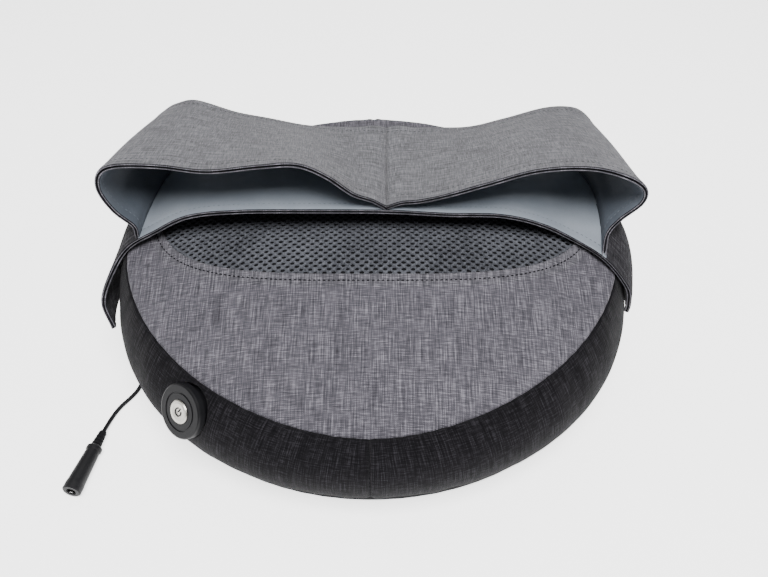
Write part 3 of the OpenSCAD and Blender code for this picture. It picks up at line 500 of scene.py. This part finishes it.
def window_point(phi, d):
    """Outline of the mesh window, moved outwards by d."""
    c, s = np.cos(phi), np.sin(phi)
    power = np.where(s < 0, WINDOW_FRONT_POWER, WINDOW_REAR_POWER)
    half = WINDOW_HALF + d
    return np.stack([(WINDOW_A + d) * signed_power(c, 2 / power),
                     WINDOW_Y + half * signed_power(s, 2 / power)], -1)


def even_angles(outline, count, closed=True, start=-0.5 * math.pi, end=1.5 * math.pi):
    """Angles that split an outline into steps of equal length."""
    fine = np.linspace(start, end, 8001)
    lengths = arc_lengths(outline(fine))
    places = np.linspace(0, lengths[-1], count + 1)
    angles = np.interp(places, lengths, fine)
    return angles[:-1] if closed else angles


def ripple(turn, seed, low, high, terms=14):
    """A smooth random wave round the cushion, about -1 to 1; turn runs from 0 to 1."""
    rng = np.random.default_rng(seed)
    total = np.zeros_like(turn)
    for _ in range(terms):
        total += np.sin(2 * np.pi * (rng.integers(low, high) * turn + rng.random()))
    return total / math.sqrt(terms) / 1.2


def normals_of(grid, ring):
    """Unit normals of a grid of points, from its neighbours."""
    along = (np.roll(grid, -1, 0) - np.roll(grid, 1, 0)) if ring else np.gradient(grid, axis=0)
    across = np.gradient(grid, axis=1)
    n = np.cross(along, across)
    return n / np.maximum(np.linalg.norm(n, axis=-1, keepdims=True), 1e-9)


def rolled(distance, radius):
    """How far a cloth edge has turned down at a distance from its seam."""
    near = np.clip(1 - distance / radius, 0, 1)
    return radius * (1 - np.sqrt(1 - near ** 2))


# ---------------------------------------------------------------- power pigtail
CORD_ROUTE = [
    (-158.3, -42.3, 7.1), (-158.8, -42.8, 6.5), (-160.3, -44.4, 4.7), (-161.6, -46.8, 3),
    (-162.8, -50.2, 1.9), (-164.4, -54, 1.5), (-167, -58.6, 1.5), (-170, -63, 1.5),
    (-172.6, -67.6, 1.5), (-174.6, -72.6, 1.5), (-175.8, -77.6, 1.9), (-176.2, -82.4, 3.2),
    (-176.3, -86, 4.4), (-176.8, -90, 4.8), (-177.5, -94, 4.9),
]
CORD_D = 2.8


def smooth_route(route, fine):
    """Catmull-Rom points through a route."""
    pts = np.asarray(route, float)
    out = []
    for i in range(len(pts) - 1):
        b, c = pts[i], pts[i + 1]
        a = pts[i - 1] if i else 2 * b - c
        d = pts[i + 2] if i + 2 < len(pts) else 2 * c - b
        for t in np.arange(fine) / fine:
            out.append(0.5 * (2 * b + (c - a) * t + (2 * a - 5 * b + 4 * c - d) * t ** 2
                              + (3 * b - a - 3 * c + d) * t ** 3))
    out.append(pts[-1])
    return np.array(out)


cord_points = smooth_route(CORD_ROUTE, 2)
cord_curve = bpy.data.curves.new("pigtail_cord", "CURVE")
cord_curve.dimensions = "3D"
cord_curve.bevel_depth = CORD_D / 2 * MM
cord_curve.bevel_resolution = 6
cord_curve.use_fill_caps = True
spline = cord_curve.splines.new("POLY")
spline.points.add(len(cord_points) - 1)
for spline_point, co in zip(spline.points, cord_points):
    spline_point.co = (*(co * MM), 1)
spline.use_smooth = True
cord_curve.materials.append(SHEATH)
pigtail = finish_piece(bpy.data.objects.new("pigtail_cord", cord_curve), ["dc_cord"])

# ---------------------------------------------------------------- top panel
AROUND = 640
PANEL_ROLL = 2.2  # radius of the turned-down edge along the seam
seam_phi = even_angles(lambda q: egg(q, SEAM_A, SEAM_F, SEAM_R, SEAM_POWER), AROUND)
window_phi = even_angles(lambda q: window_point(q, 0), AROUND)
turn = np.arange(AROUND) / AROUND
seam_xy = egg(seam_phi, SEAM_A, SEAM_F, SEAM_R, SEAM_POWER)
window_xy = window_point(window_phi, 0)

# closer rows near the seam, where the cloth rolls over
panel_q = np.concatenate([np.array([0, .004, .009, .016, .026, .04, .06]), np.linspace(.085, 1, 30)])
panel_xy = seam_xy[:, None] + (window_xy - seam_xy)[:, None] * panel_q[None, :, None]
from_seam = np.linalg.norm(panel_xy - seam_xy[:, None], axis=-1)
panel_z = top_z(panel_xy)
pucker = ripple(turn, 3, 46, 120)[:, None] * np.exp(-from_seam / 7.0) \
    * np.clip(1 - seam_xy[:, 1:] / 60, 0.15, 1)
swell = ripple(turn, 5, 5, 16)[:, None] * np.exp(-((from_seam - 26) / 24) ** 2)
panel_z = panel_z - rolled(from_seam, PANEL_ROLL) + 0.2 * pucker + 0.45 * swell
panel_top = np.concatenate([panel_xy, panel_z[..., None]], -1)
panel_low = panel_top[:, ::-1].copy()
panel_low[..., 2] = top_z(panel_low[..., :2]) - COVER_T
sections = np.concatenate([panel_top, panel_low], 1)
columns = [0] * sections.shape[1]
top = tube_of_sections("cover_top", sections, plan_uv(sections), [CLOTH_TOP], columns, True)
finish_piece(top, ["top_panel"])

# ---------------------------------------------------------------- window hem
# the fold's upper side, as distance out from the window's outline and height above the panel
HEM = [(-2.7, -0.9), (-2.9, -0.1), (-2.8, 0.5), (-2.3, 0.95), (-1.5, 1.1), (-0.6, 1.0), (0.3, 0.75),
       (1.0, 0.35), (1.6, 0.0), (2.2, 0.3), (3.2, 0.55), (4.4, 0.45), (5.6, 0.15), (6.2, -0.5)]
HEM_UNDER = (6.2, 5.4, 4.4, 3.2, 2.2, 1.6, 1.0, 0.3, -0.6, -1.5, -2.1, -2.4, -2.6, -2.7)
HEM_DEPTH = 1.2
HEM_STITCH = 1.6  # the stitched groove's distance out
hem_rows = []
for d, h in HEM:
    xy = window_point(window_phi, d)
    hem_rows.append(np.concatenate([xy, (top_z(xy) + h)[..., None]], -1))
for d in HEM_UNDER:
    xy = window_point(window_phi, d)
    hem_rows.append(np.concatenate([xy, (top_z(xy) - HEM_DEPTH)[..., None]], -1))
sections = np.stack(hem_rows, 1)
wave = ripple(turn, 9, 60, 160)
sections[:, 3:9, 2] += 0.12 * wave[:, None]
# painted shade: the fold's two columns along the mesh edge, where it turns down, take the dark wall cloth
hem_painted_shade_looks = [1 if column in (0, 1) else 0 for column in range(sections.shape[1])]
hem = tube_of_sections("window_hem_fold", sections, plan_uv(sections), [CLOTH_HEM, CLOTH_WALL],
                       hem_painted_shade_looks, True)
finish_piece(hem, ["window_hem"])

closed_phi = np.concatenate([window_phi, window_phi[:1] + 2 * math.pi])
stitch_xy = window_point(closed_phi, HEM_STITCH)
stitch_line = np.concatenate([stitch_xy, (top_z(stitch_xy) + 0.2)[..., None]], -1)
stitches("hem_stitches", [(stitch_line, np.tile([0.0, 0, 1], (len(stitch_line), 1)))], BINDING,
         pitch=3.0, length=2.0, thick=0.9)

# ---------------------------------------------------------------- spacer mesh
PITCH_X, PITCH_Y = 5.8, 2.5  # between holes of one row, and between rows
HOLE_R, HOLE_DEPTH, LIP_GROWTH = 1.38, 1.3, 1.18
SIDES = 16


def inside_window(x, y, margin):
    power = WINDOW_FRONT_POWER if y < WINDOW_Y else WINDOW_REAR_POWER
    return (abs(x / (WINDOW_A + margin)) ** power
            + abs((y - WINDOW_Y) / (WINDOW_HALF + margin)) ** power) < 1


def mesh_cells():
    """Diamond cells with an oval hole each. Neighbouring cells share their corners."""
    index, points, uv_faces = {}, [], []

    def point(x, y, h):
        key = (round(x * 200), round(y * 200), round(h * 100))
        if key not in index:
            index[key] = len(points)
            points.append((x, y, h))
        return index[key]

    rng = np.random.default_rng(21)  # holes differ a little in place and size
    rows = int(2 * WINDOW_HALF / PITCH_Y) + 2
    columns = int(2 * WINDOW_A / PITCH_X) + 2
    for row in range(-1, rows):
        for column in range(-columns // 2 - 1, columns // 2 + 2):
            x = (column + 0.5 * (row % 2)) * PITCH_X
            y = WINDOW_Y - WINDOW_HALF + row * PITCH_Y
            if not inside_window(x, y, 0.6):
                continue
            jx, jy = rng.normal(0, 0.1, 2)
            size = HOLE_R * rng.uniform(0.93, 1.07)
            rim, lip, low = [], [], []
            for s in range(SIDES):
                q = 2 * math.pi * s / SIDES
                c, sn = math.cos(q), math.sin(q)
                reach = 1 / (abs(c) / (PITCH_X / 2) + abs(sn) / PITCH_Y)
                rim.append(point(x + c * reach, y + sn * reach, 0.0))
                ox, oy = 1.06 * size * c, 0.94 * size * sn
                lip.append(point(x + jx + ox * LIP_GROWTH, y + jy + oy * LIP_GROWTH, -0.12))
                low.append(point(x + jx + ox, y + jy + oy, -HOLE_DEPTH))
            for s in range(SIDES):
                s2 = (s + 1) % SIDES
                uv_faces.append((rim[s], rim[s2], lip[s2], lip[s]))
                uv_faces.append((lip[s], lip[s2], low[s2], low[s]))
    return np.array(points), uv_faces


cell_points, cell_faces = mesh_cells()
cell_points[:, 2] += top_z(cell_points[:, :2]) - 0.25
cell_corners = np.array([cell_points[v][:2] for f in cell_faces for v in f])
net = build("mesh_net", cell_points, cell_faces, cell_corners, [MESH_YARN], [0] * len(cell_faces))
finish_piece(net, ["mesh_panel"])

backing_q = np.linspace(0.04, 1, 14)
backing_xy = np.array([0, WINDOW_Y]) + (window_point(window_phi, 1.5)[:, None] - [0, WINDOW_Y]) \
    * backing_q[None, :, None]
upper = np.concatenate([backing_xy, (top_z(backing_xy) - 2.3)[..., None]], -1)
lower = upper[:, ::-1] - [0, 0, 0.6]
sections = np.concatenate([upper, lower], 1)
backing = tube_of_sections("mesh_backing", sections, plan_uv(sections), [CLOTH_BASE],
                           [0] * sections.shape[1], True)
finish_piece(backing)

# ---------------------------------------------------------------- side wall
# each opening's axis leans from upright by the first angle, towards the second
BUTTON_AT, BUTTON_TURN = (-110.5, -106.5, 54.5), (59, 229)
GLAND_AT, GLAND_TURN = (-155, -39, 11), (130, 225)
button_place = placed(BUTTON_AT, *BUTTON_TURN)
gland_place = placed(GLAND_AT, *GLAND_TURN)
WALL_HALF = 360
WALL_T = 4.2  # depth of the padded wall, with its own backing
WALL_TOP_ROLL, WALL_BASE_ROLL = 1.6, 1.4  # radii of its turned-in upper and lower edges
BUTTON_HOLE_R, BUTTON_RECESS_R, GLAND_HOLE_R, GLAND_RECESS_R = 13.2, 16.8, 3.5, 5.3


def gland_cutters():
    return [drum(GLAND_HOLE_R, -12, 12, gland_place), drum(GLAND_RECESS_R, 0.2, 9, gland_place)]


def wall_half(name, start, replaced):
    """One half of the wall, from a start angle round to the other seam, with its grid."""
    angles = even_angles(lambda q: egg(q, SEAM_A, SEAM_F, SEAM_R, SEAM_POWER), WALL_HALF,
                         closed=False, start=start, end=start + math.pi)
    rows = np.concatenate([[0, .004, .010, .018, .03, .045, .065], np.linspace(.09, .93, 34),
                           [.955, .972, .984, .993, 1]])
    outer = np.stack([wall_point(angles, t) for t in rows], 1)
    normal = normals_of(outer, False)
    if np.sum(normal[WALL_HALF // 2, 20, :2] * outer[WALL_HALF // 2, 20, :2]) < 0:
        normal = -normal
    lengths = np.stack([arc_lengths(outer[i]) for i in range(len(angles))])
    from_top = lengths
    from_base = lengths[:, -1:] - lengths
    along = arc_lengths(outer[:, 20])
    from_end = np.minimum(along, along[-1] - along)[:, None]
    share = (angles + 0.5 * math.pi) / (2 * math.pi)
    puckers = ripple(share, 31, 50, 130)[:, None] * np.exp(-from_top / 8.0) \
        * np.clip(1 - outer[:, :1, 1] / 60, 0.15, 1)
    drape = ripple(share + 0.013 * np.sin(3 * share), 33, 16, 40)[:, None] \
        * np.exp(-((from_top - 20) / 16) ** 2)
    base_folds = ripple(share, 35, 24, 60)[:, None] * np.exp(-from_base / 12.0)
    out = 0.40 * puckers + 0.40 * drape + 0.55 * base_folds
    out -= rolled(from_top, WALL_TOP_ROLL) + rolled(from_base, WALL_BASE_ROLL)
    # the front and rear seams lie in a groove with a low ridge beside it
    out -= 0.9 * np.exp(-(from_end / 1.5) ** 2)
    out += 0.45 * np.exp(-((from_end - 5) / 3.0) ** 2)
    # the button's flange presses the cloth in round its edge
    button = np.linalg.norm(outer - np.array(BUTTON_AT), axis=-1)
    out -= 0.8 * np.exp(-(np.clip(button - 15, 0, None) / 6) ** 2) * (button < 40)
    shaped = outer + normal * out[..., None]
    inner = np.stack([wall_point(angles, t, WALL_T) for t in rows[::-1]], 1)
    inner[..., 2] = np.minimum(inner[..., 2], seam_z(np.sin(angles))[:, None] - 5.0)
    sections = np.concatenate([shaped, inner], 1)
    u = np.tile(along[:, None], (1, sections.shape[1] + 1))
    v = np.concatenate([-lengths, -lengths[:, ::-1], -lengths[:, :1]], 1)
    uv = np.stack([u, v], -1)
    half = tube_of_sections(name, sections, uv, [CLOTH_WALL], [0] * sections.shape[1], False)
    if start > 0:
        half = cut(half, [drum(BUTTON_RECESS_R, -12, 12, button_place),
                          drum(BUTTON_HOLE_R, -24, 0, button_place), *gland_cutters()])
        for polygon in half.data.polygons:
            polygon.use_smooth = True
    finish_piece(half, [replaced])
    return shaped, normal


wall_right, wall_right_normal = wall_half("cover_wall_right", -0.5 * math.pi, "side_wall_right")
wall_half("cover_wall_left", 0.5 * math.pi, "side_wall_left")

# one row of stitches along the wall's front seam and one along its rear seam
seam_lines = [(wall_right[column, 7:-5], wall_right_normal[column, 7:-5]) for column in (0, -1)]
stitches("wall_seam_stitches", seam_lines, BINDING, pitch=3.4, length=2.6, thick=0.6)

# ---------------------------------------------------------------- underside
ZIP_Y, ZIP_SLOT, ZIP_W = 82.0, 10.0, 188.0
base_phi = even_angles(lambda q: egg(q, BASE_A, BASE_F, BASE_R, BASE_POWER), AROUND)


def base_ring(inset, z):
    """The underside's outline, set in and at a height."""
    xy = egg(base_phi, BASE_A - inset, BASE_F - inset, BASE_R - inset, BASE_POWER)
    return np.concatenate([xy, np.full((AROUND, 1), z)], -1)


# rings of the underside and its rim as (inset, height): outer side upwards, inner side downwards
BASE_OUT = [(120, 0), (60, 0), (25, 0), (8, 0), (4.4, 0.1), (2.2, 0.5), (1.0, 1.2), (0.4, 2.1),
            (0.1, 3.3), (0, 4.8), (0, 6.6), (0.8, 8.2)]
BASE_IN = [(2.6, 8.2), (3.2, 7.5), (3.4, 6.5), (3.8, 5.4), (4.8, 4.2), (6.4, 3.4), (9, 3), (14, 3),
           (25, 3), (60, 3), (110, 3), (120, 3)]
sections = np.stack([base_ring(i, z) for i, z in BASE_OUT + BASE_IN], 1)
sections[:, 4:13, 2] += 0.12 * ripple(turn, 41, 30, 90)[:, None] * np.array(
    [.2, .5, .8, 1, 1, .8, .4, 0, 0])
base = tube_of_sections("cover_base", sections, plan_uv(sections), [CLOTH_BASE],
                        [0] * sections.shape[1], True)


def block(low, high):
    """A closed box, for cutting."""
    bm = bmesh.new()
    bmesh.ops.create_cube(bm, size=1)
    size = (Vector(high) - Vector(low)) * MM
    bm.transform(Matrix.Translation((Vector(high) + Vector(low)) / 2 * MM)
                 @ Matrix.Diagonal((*size, 1)))
    mesh = bpy.data.meshes.new("cutter")
    bm.to_mesh(mesh)
    bm.free()
    return bpy.data.objects.new("cutter", mesh)


# the ring's small hole in the middle is closed by a flat patch
middle = base_ring(120, 0)
patch_points = np.concatenate([middle, middle + [0, 0, 3]])
patch_faces = [tuple(range(AROUND))[::-1], tuple(range(AROUND, 2 * AROUND))]
patch_faces += [(i, (i + 1) % AROUND, AROUND + (i + 1) % AROUND, AROUND + i) for i in range(AROUND)]
base = cut(base, [block((-ZIP_W / 2, ZIP_Y - ZIP_SLOT / 2, -1), (ZIP_W / 2, ZIP_Y + ZIP_SLOT / 2, 6)),
                  *gland_cutters()])
finish_piece(base, ["bottom_panel"])
patch = build("base_middle", patch_points, patch_faces,
              np.array([patch_points[v][:2] for f in patch_faces for v in f]), [CLOTH_BASE],
              [0] * len(patch_faces))
finish_piece(patch)

# ---------------------------------------------------------------- strap
BAND_RAILS = [
    [(-168, -42, 56), (-176, -28, 66), (-169, -15, 82), (-158, -7, 95), (-140, -4, 105),
     (-116, -3, 117), (-84, -3, 121), (-40, -3, 121.5), (10, -3, 121), (48, -3, 118.7),
     (82, -3, 118), (108, -3, 111), (130, -6, 101), (149.2, -18, 94.5), (163.4, -30, 81.5),
     (169, -28, 64), (172.3, -22, 50)],
    [(-176, 10, 48), (-174, 14, 62), (-166.5, 26, 80), (-160, 36, 96), (-145, 43, 105),
     (-118, 47, 112.5), (-82, 47, 116.5), (-39, 47, 117.5), (9, 47, 116.5), (49, 47, 116),
     (83, 47, 115), (109, 46, 111), (130, 44, 105.5), (152.8, 36, 103.2), (168, 24, 91.2),
     (173.2, 14, 66), (175.2, 10, 48)],
    [(-162, 62, 44), (-160.5, 67, 60), (-151, 77, 78), (-143, 85, 93), (-133, 92, 103),
     (-110, 96, 111), (-78, 97, 114), (-38, 97, 113.5), (8, 97, 112.5), (48, 97, 112.5),
     (80, 97, 112), (105, 97, 108), (124, 92, 102), (139, 85, 95), (148, 77, 80),
     (158.5, 68, 63), (162, 64, 47)]]
LEFT_RAILS = [
    [(-151, -4, 102.5), (-152, -3, 110), (-161, -3, 122), (-166, -3, 138),
     (-162, -3, 150.5), (-150, -3, 155.5), (-125, -3, 155), (-98, -3, 151.5),
     (-66, -3, 155), (-44, -3, 156), (-27, -3, 148), (-10, -3, 134), (8.8, -3, 124.8)],
    [(-146, 44, 108.5), (-151, 46, 115), (-160, 47, 123), (-163, 47, 134), (-154, 47, 143),
     (-145, 47, 147), (-125, 47, 148), (-98, 47, 144), (-72, 47, 142), (-48, 47, 139),
     (-30, 47, 133), (-12, 47, 126), (8.8, 47, 121.5)],
    [(-137, 90, 103.5), (-142, 94, 110.5), (-150, 97, 118), (-154, 97, 126),
     (-147, 97, 133), (-138, 97, 138), (-124, 97, 140), (-98, 97, 130), (-76, 97, 124.5),
     (-52, 97, 119), (-34, 97, 117.7), (-14, 97, 117.3), (8.8, 97, 117.2)]]
RIGHT_RAILS = [
    [(10.2, -3, 124.8), (40, -3, 132), (70, -3, 142), (100, -3, 151.5), (131, -3, 153),
     (154, -3, 147), (167, -3, 138.5), (168, -3, 128), (158, -3, 115), (151.5, -6, 106),
     (149, -15, 97.8)],
    [(10.2, 47, 121.5), (42, 47, 126), (72, 47, 132), (100, 47, 142), (130, 47, 144.5),
     (148, 47, 140), (160, 47, 133.5), (164, 46, 125.5), (160, 44, 117), (154, 42, 111),
     (152, 40, 106.8)],
    [(10.2, 97, 117.2), (44, 97, 117), (70, 97, 118), (94, 97, 125), (122, 97, 134),
     (141, 97, 134.5), (151, 97, 129), (156, 96, 121.5), (152.5, 94, 113), (147, 91, 105.5),
     (141.5, 88, 98)]]
ACROSS = 44


def band_grid(rails, fine=12):
    """Middle layer of a band: points, normals, and the lengths along and across it."""
    curves = [smooth_route(r, fine) for r in rails]
    # rows crowd towards both edges, where the hems are
    s = np.linspace(-1, 1, ACROSS + 1)
    v = 0.5 + 0.5 * np.sign(s) * (1 - (1 - np.abs(s)) ** 1.35)
    w = [(1 - v) * (1 - 2 * v), 4 * v * (1 - v), v * (2 * v - 1)]
    grid = sum(c[:, None] * k[None, :, None] for c, k in zip(curves, w))
    normal = normals_of(grid, False)
    along = arc_lengths(grid[:, ACROSS // 2])
    across = np.stack([arc_lengths(row) for row in grid])
    return grid, normal, along, across


# profile of a bound edge (outwards, and up in half thicknesses) and the look of each step of it
LIP = [(0.2, 1.0), (0.6, 0.85), (0.65, 0.42), (0.2, 0.3), (-0.9, 0.15),
       (-0.9, -0.15), (0.2, -0.3), (0.65, -0.42), (0.6, -0.85), (0.2, -1.0)]
LIP_LOOKS = [2, 3, 2, 2, 2, 2, 2, 3, 2]


def band_piece(name, rails, upper, lower, replaced, shape=None, lined=None, reach=(0, 0)):
    """A lined band: two plies meeting at a bound edge, each with a sewn hem. Its upper ply has
    the upper look between two lined lines, or all over. Returns its grid, normals and half depths."""
    grid, normal, along, across = band_grid(rails)
    # a loop's sewn end reaches on past the rails, down to the band or to the other loop
    if reach[0]:
        grid[0] += (grid[0] - grid[1]) / np.linalg.norm(grid[0] - grid[1], axis=-1)[:, None] * reach[0]
    if reach[1]:
        grid[-1] += (grid[-1] - grid[-2]) / np.linalg.norm(grid[-1] - grid[-2], axis=-1)[:, None] * reach[1]
    width = across[:, -1:]
    edge = np.minimum(across, width - across)
    if shape is not None:
        grid = grid + normal * shape(grid, along, across)[..., None]
        normal = normals_of(grid, False)
    # a ply is thick over its hem, dips at the stitch line and thins towards the middle
    hem = 1.75 - 0.7 * np.exp(-((edge - 6.0) / 0.9) ** 2) - 0.5 / (1 + np.exp(-(edge - 8) / 1.2))
    half = hem * np.clip(edge / 0.9 + 0.75, 0, 1) ** 0.5
    top_ply = grid + normal * half[..., None]
    low_ply = grid - normal * half[..., None]
    side = grid[:, -1] - grid[:, -2]
    side /= np.linalg.norm(side, axis=-1, keepdims=True)
    near = grid[:, 0] - grid[:, 1]
    near /= np.linalg.norm(near, axis=-1, keepdims=True)

    def lip(centre, out, n, h):
        """The edge seen end on: two folded plies with a deep groove between them."""
        return np.stack([centre + out * reach_out + n * (h * lift) for reach_out, lift in LIP], 1)

    far_lip = lip(grid[:, -1], side, normal[:, -1], half[:, -1:])
    near_lip = lip(grid[:, 0], near, normal[:, 0], half[:, :1])[:, ::-1]
    n = len(LIP) // 2
    sections = np.concatenate([near_lip[:, n:], top_ply, far_lip, low_ply[:, ::-1], near_lip[:, :n]], 1)
    k = sections.shape[1]
    columns = (LIP_LOOKS[n - 2::-1] + [2] + [0] * ACROSS + [2] + LIP_LOOKS + [2] + [1] * ACROSS
               + [2] + LIP_LOOKS[:n - 1:-1] + [2])
    u = np.tile(along[:, None], (1, k + 1))
    flat = np.concatenate([np.zeros((len(along), n)), across, width + np.ones((1, 2 * n)),
                           across[:, ::-1], np.zeros((len(along), n + 1))], 1)
    uv = np.stack([u, flat], -1)
    obj = tube_of_sections(name, sections, uv, [upper, lower, BINDING, CLOTH_HEM], columns, False)
    if lined is not None:
        for polygon in obj.data.polygons:
            x, y = polygon.center.x / MM, polygon.center.y / MM
            first, last = (np.interp(y, *zip(*limit)) for limit in lined)
            if polygon.material_index == 0 and not first < x < last:
                polygon.material_index = 1
    finish_piece(obj, replaced)
    return grid, normal, half


def folds(seed, size, pinch_x=None):
    """Slow folds in the cloth, gathered where the loops are sewn down."""

    def shape(grid, along, across):
        rng = np.random.default_rng(seed)
        total = np.zeros(grid.shape[:2])
        for _ in range(9):
            ku, kv = rng.uniform(-0.045, 0.045), rng.uniform(-0.09, 0.09)
            total += np.sin(ku * along[:, None] + kv * across + 2 * math.pi * rng.random())
        total *= size / 3
        if pinch_x is not None:
            away = np.abs(grid[..., 0] - pinch_x)
            near = np.exp(-away / 20)
            total *= 1 - 0.8 * near
            total += 0.7 * near * (1 - np.exp(-away / 3)) * np.sin(across / 3.6 + 2 * np.sin(across / 17))
            # the cloth swells on both sides of the seam that holds it down
            total += 1.3 * np.exp(-((away - 10) / 6.5) ** 2) - 0.4 * np.exp(-away / 2)
        return total

    return shape


def hem_lines(grid, normal, half, sides, inset=6.5, start=0, end=None):
    """Lines of stitches inset from both edges, on the sides asked for."""
    out = []
    rows = grid[start:end], normal[start:end], half[start:end]
    for sign in sides:
        for reverse in (False, True):
            line, up = [], []
            for points, n, h in zip(*rows):
                order = slice(None, None, -1) if reverse else slice(None)
                lengths = arc_lengths(points[order])
                at = [np.interp(inset, lengths, points[order][:, c]) for c in range(3)]
                direction = [np.interp(inset, lengths, n[order][:, c]) for c in range(3)]
                lift = np.interp(inset, lengths, h[order])
                line.append(np.array(at) + sign * np.array(direction) * lift)
                up.append(sign * np.array(direction))
            out.append((np.array(line), np.array(up)))
    return out


# (y, x) along the lines where the loops are sewn to the band, which is lined between them
SEWN_LEFT = [(-4, -151), (44, -146), (90, -137)]
SEWN_RIGHT = [(-15, 149.5), (40, 152), (88, 141.5)]
LOOP_SEAM_X = 9.5  # where the two loops meet on top of the band
FIRST_SEWN_ROW, LAST_SEWN_ROW = 42, 157  # rows of the band between which its hems are stitched

# the band's lower ply, and its upper ply outside the lined part, take the heather cloth with painted shade
band = band_piece("strap_lower_band", BAND_RAILS, LINING, CLOTH_BAND_PAINTED_SHADE, ["strap_band"], folds(51, 0.35),
                  lined=(SEWN_LEFT, SEWN_RIGHT))
# the loops' lower plies take the lining copy with painted shade
left = band_piece("strap_loop_left", LEFT_RAILS, CLOTH_STRAP, LINING_PAINTED_SHADE, ["hand_loop_left"],
                  folds(53, 0.5, LOOP_SEAM_X), reach=(2.0, 0.62))
right = band_piece("strap_loop_right", RIGHT_RAILS, CLOTH_STRAP, LINING_PAINTED_SHADE, ["hand_loop_right"],
                   folds(55, 0.5, LOOP_SEAM_X), reach=(0.62, 3.4))
stitches("band_stitches", hem_lines(*band, (1,), start=FIRST_SEWN_ROW, end=LAST_SEWN_ROW), THREAD_BLUE)
stitches("loop_stitches_left", hem_lines(*left, (1,)), THREAD)
stitches("loop_stitches_right", hem_lines(*right, (1,)), THREAD)
stitches("loop_lining_stitches_left", hem_lines(*left, (-1,)), THREAD_BLUE)
stitches("loop_lining_stitches_right", hem_lines(*right, (-1,)), THREAD_BLUE)


# ---------------------------------------------------------------- button icon
def icon():
    """A generic on-off mark: an open ring and a bar, raised on the button."""
    bm = bmesh.new()
    low, high = 3.85, 4.35

    def strip(outline_in, outline_out):
        rings = []
        for z in (low, high):
            rings.append(([bm.verts.new((x * MM, y * MM, z * MM)) for x, y in outline_in],
                          [bm.verts.new((x * MM, y * MM, z * MM)) for x, y in outline_out]))
        (a0, b0), (a1, b1) = rings
        for i in range(len(a0) - 1):
            for quad in ((a1[i], b1[i], b1[i + 1], a1[i + 1]), (a0[i + 1], b0[i + 1], b0[i], a0[i]),
                         (b0[i], b0[i + 1], b1[i + 1], b1[i]), (a0[i + 1], a0[i], a1[i], a1[i + 1])):
                bm.faces.new(quad)
        bm.faces.new((a0[0], b0[0], b1[0], a1[0]))
        bm.faces.new((b0[-1], a0[-1], a1[-1], b1[-1]))

    angles = np.radians(np.linspace(35, 325, 40))
    strip([(-2.0 * math.cos(q), 2.0 * math.sin(q)) for q in angles],
          [(-2.75 * math.cos(q), 2.75 * math.sin(q)) for q in angles])
    strip([(-3.2, -0.36), (-0.4, -0.36)], [(-3.2, 0.36), (-0.4, 0.36)])
    bmesh.ops.recalc_face_normals(bm, faces=bm.faces)
    bm.transform(button_place @ Matrix.Rotation(math.radians(-20), 4, "Z"))
    mesh = bpy.data.meshes.new("button_mark")
    bm.to_mesh(mesh)
    bm.free()
    mesh.materials.append(BLACK_PLASTIC)
    return finish_piece(bpy.data.objects.new("button_mark", mesh), body="button")


icon()


# ---------------------------------------------------------------- floor and light
# name, place, target, size in metres and power in watts
LIGHTS = (
    ("key", (0.1, -0.55, 1.35), (0, 0.0, 0.08), 0.7, 38),
    ("back", (-0.1, 0.75, 1.3), (0, 0, 0.05), 1.0, 6),
    ("left", (-1.4, 0.3, 0.6), (0, 0, 0.05), 0.8, 2.5),
    ("right", (1.4, 0.3, 0.6), (0, 0, 0.05), 0.8, 2.5),
)


def studio():
    """A pale floor just below the object, a dim white world and four soft lights."""
    bm = bmesh.new()
    bmesh.ops.create_grid(bm, x_segments=2, y_segments=2, size=4)
    mesh = bpy.data.meshes.new("floor")
    bm.to_mesh(mesh)
    bm.free()
    g = Graph("pale_floor")
    g.set(Base_Color=(0.92, 0.92, 0.92, 1), Roughness=0.9, Specular_IOR_Level=0.1,
          Emission_Color=(1, 1, 1, 1), Emission_Strength=2.2)
    mesh.materials.append(g.material)
    floor = bpy.data.objects.new("floor", mesh)
    floor.location.z = -0.0003
    bpy.context.scene.collection.objects.link(floor)
    world = bpy.data.worlds.new("world")
    world.use_nodes = True
    world.node_tree.nodes["Background"].inputs["Color"].default_value = (1, 1, 1, 1)
    world.node_tree.nodes["Background"].inputs["Strength"].default_value = 0.14
    bpy.context.scene.world = world
    for name, at, target, size, power in LIGHTS:
        data = bpy.data.lights.new(name, "AREA")
        data.size = size
        data.energy = power
        light = bpy.data.objects.new(name, data)
        light.location = at
        look_at(light, target)
        bpy.context.scene.collection.objects.link(light)


studio()


bpy.context.view_layer.update()
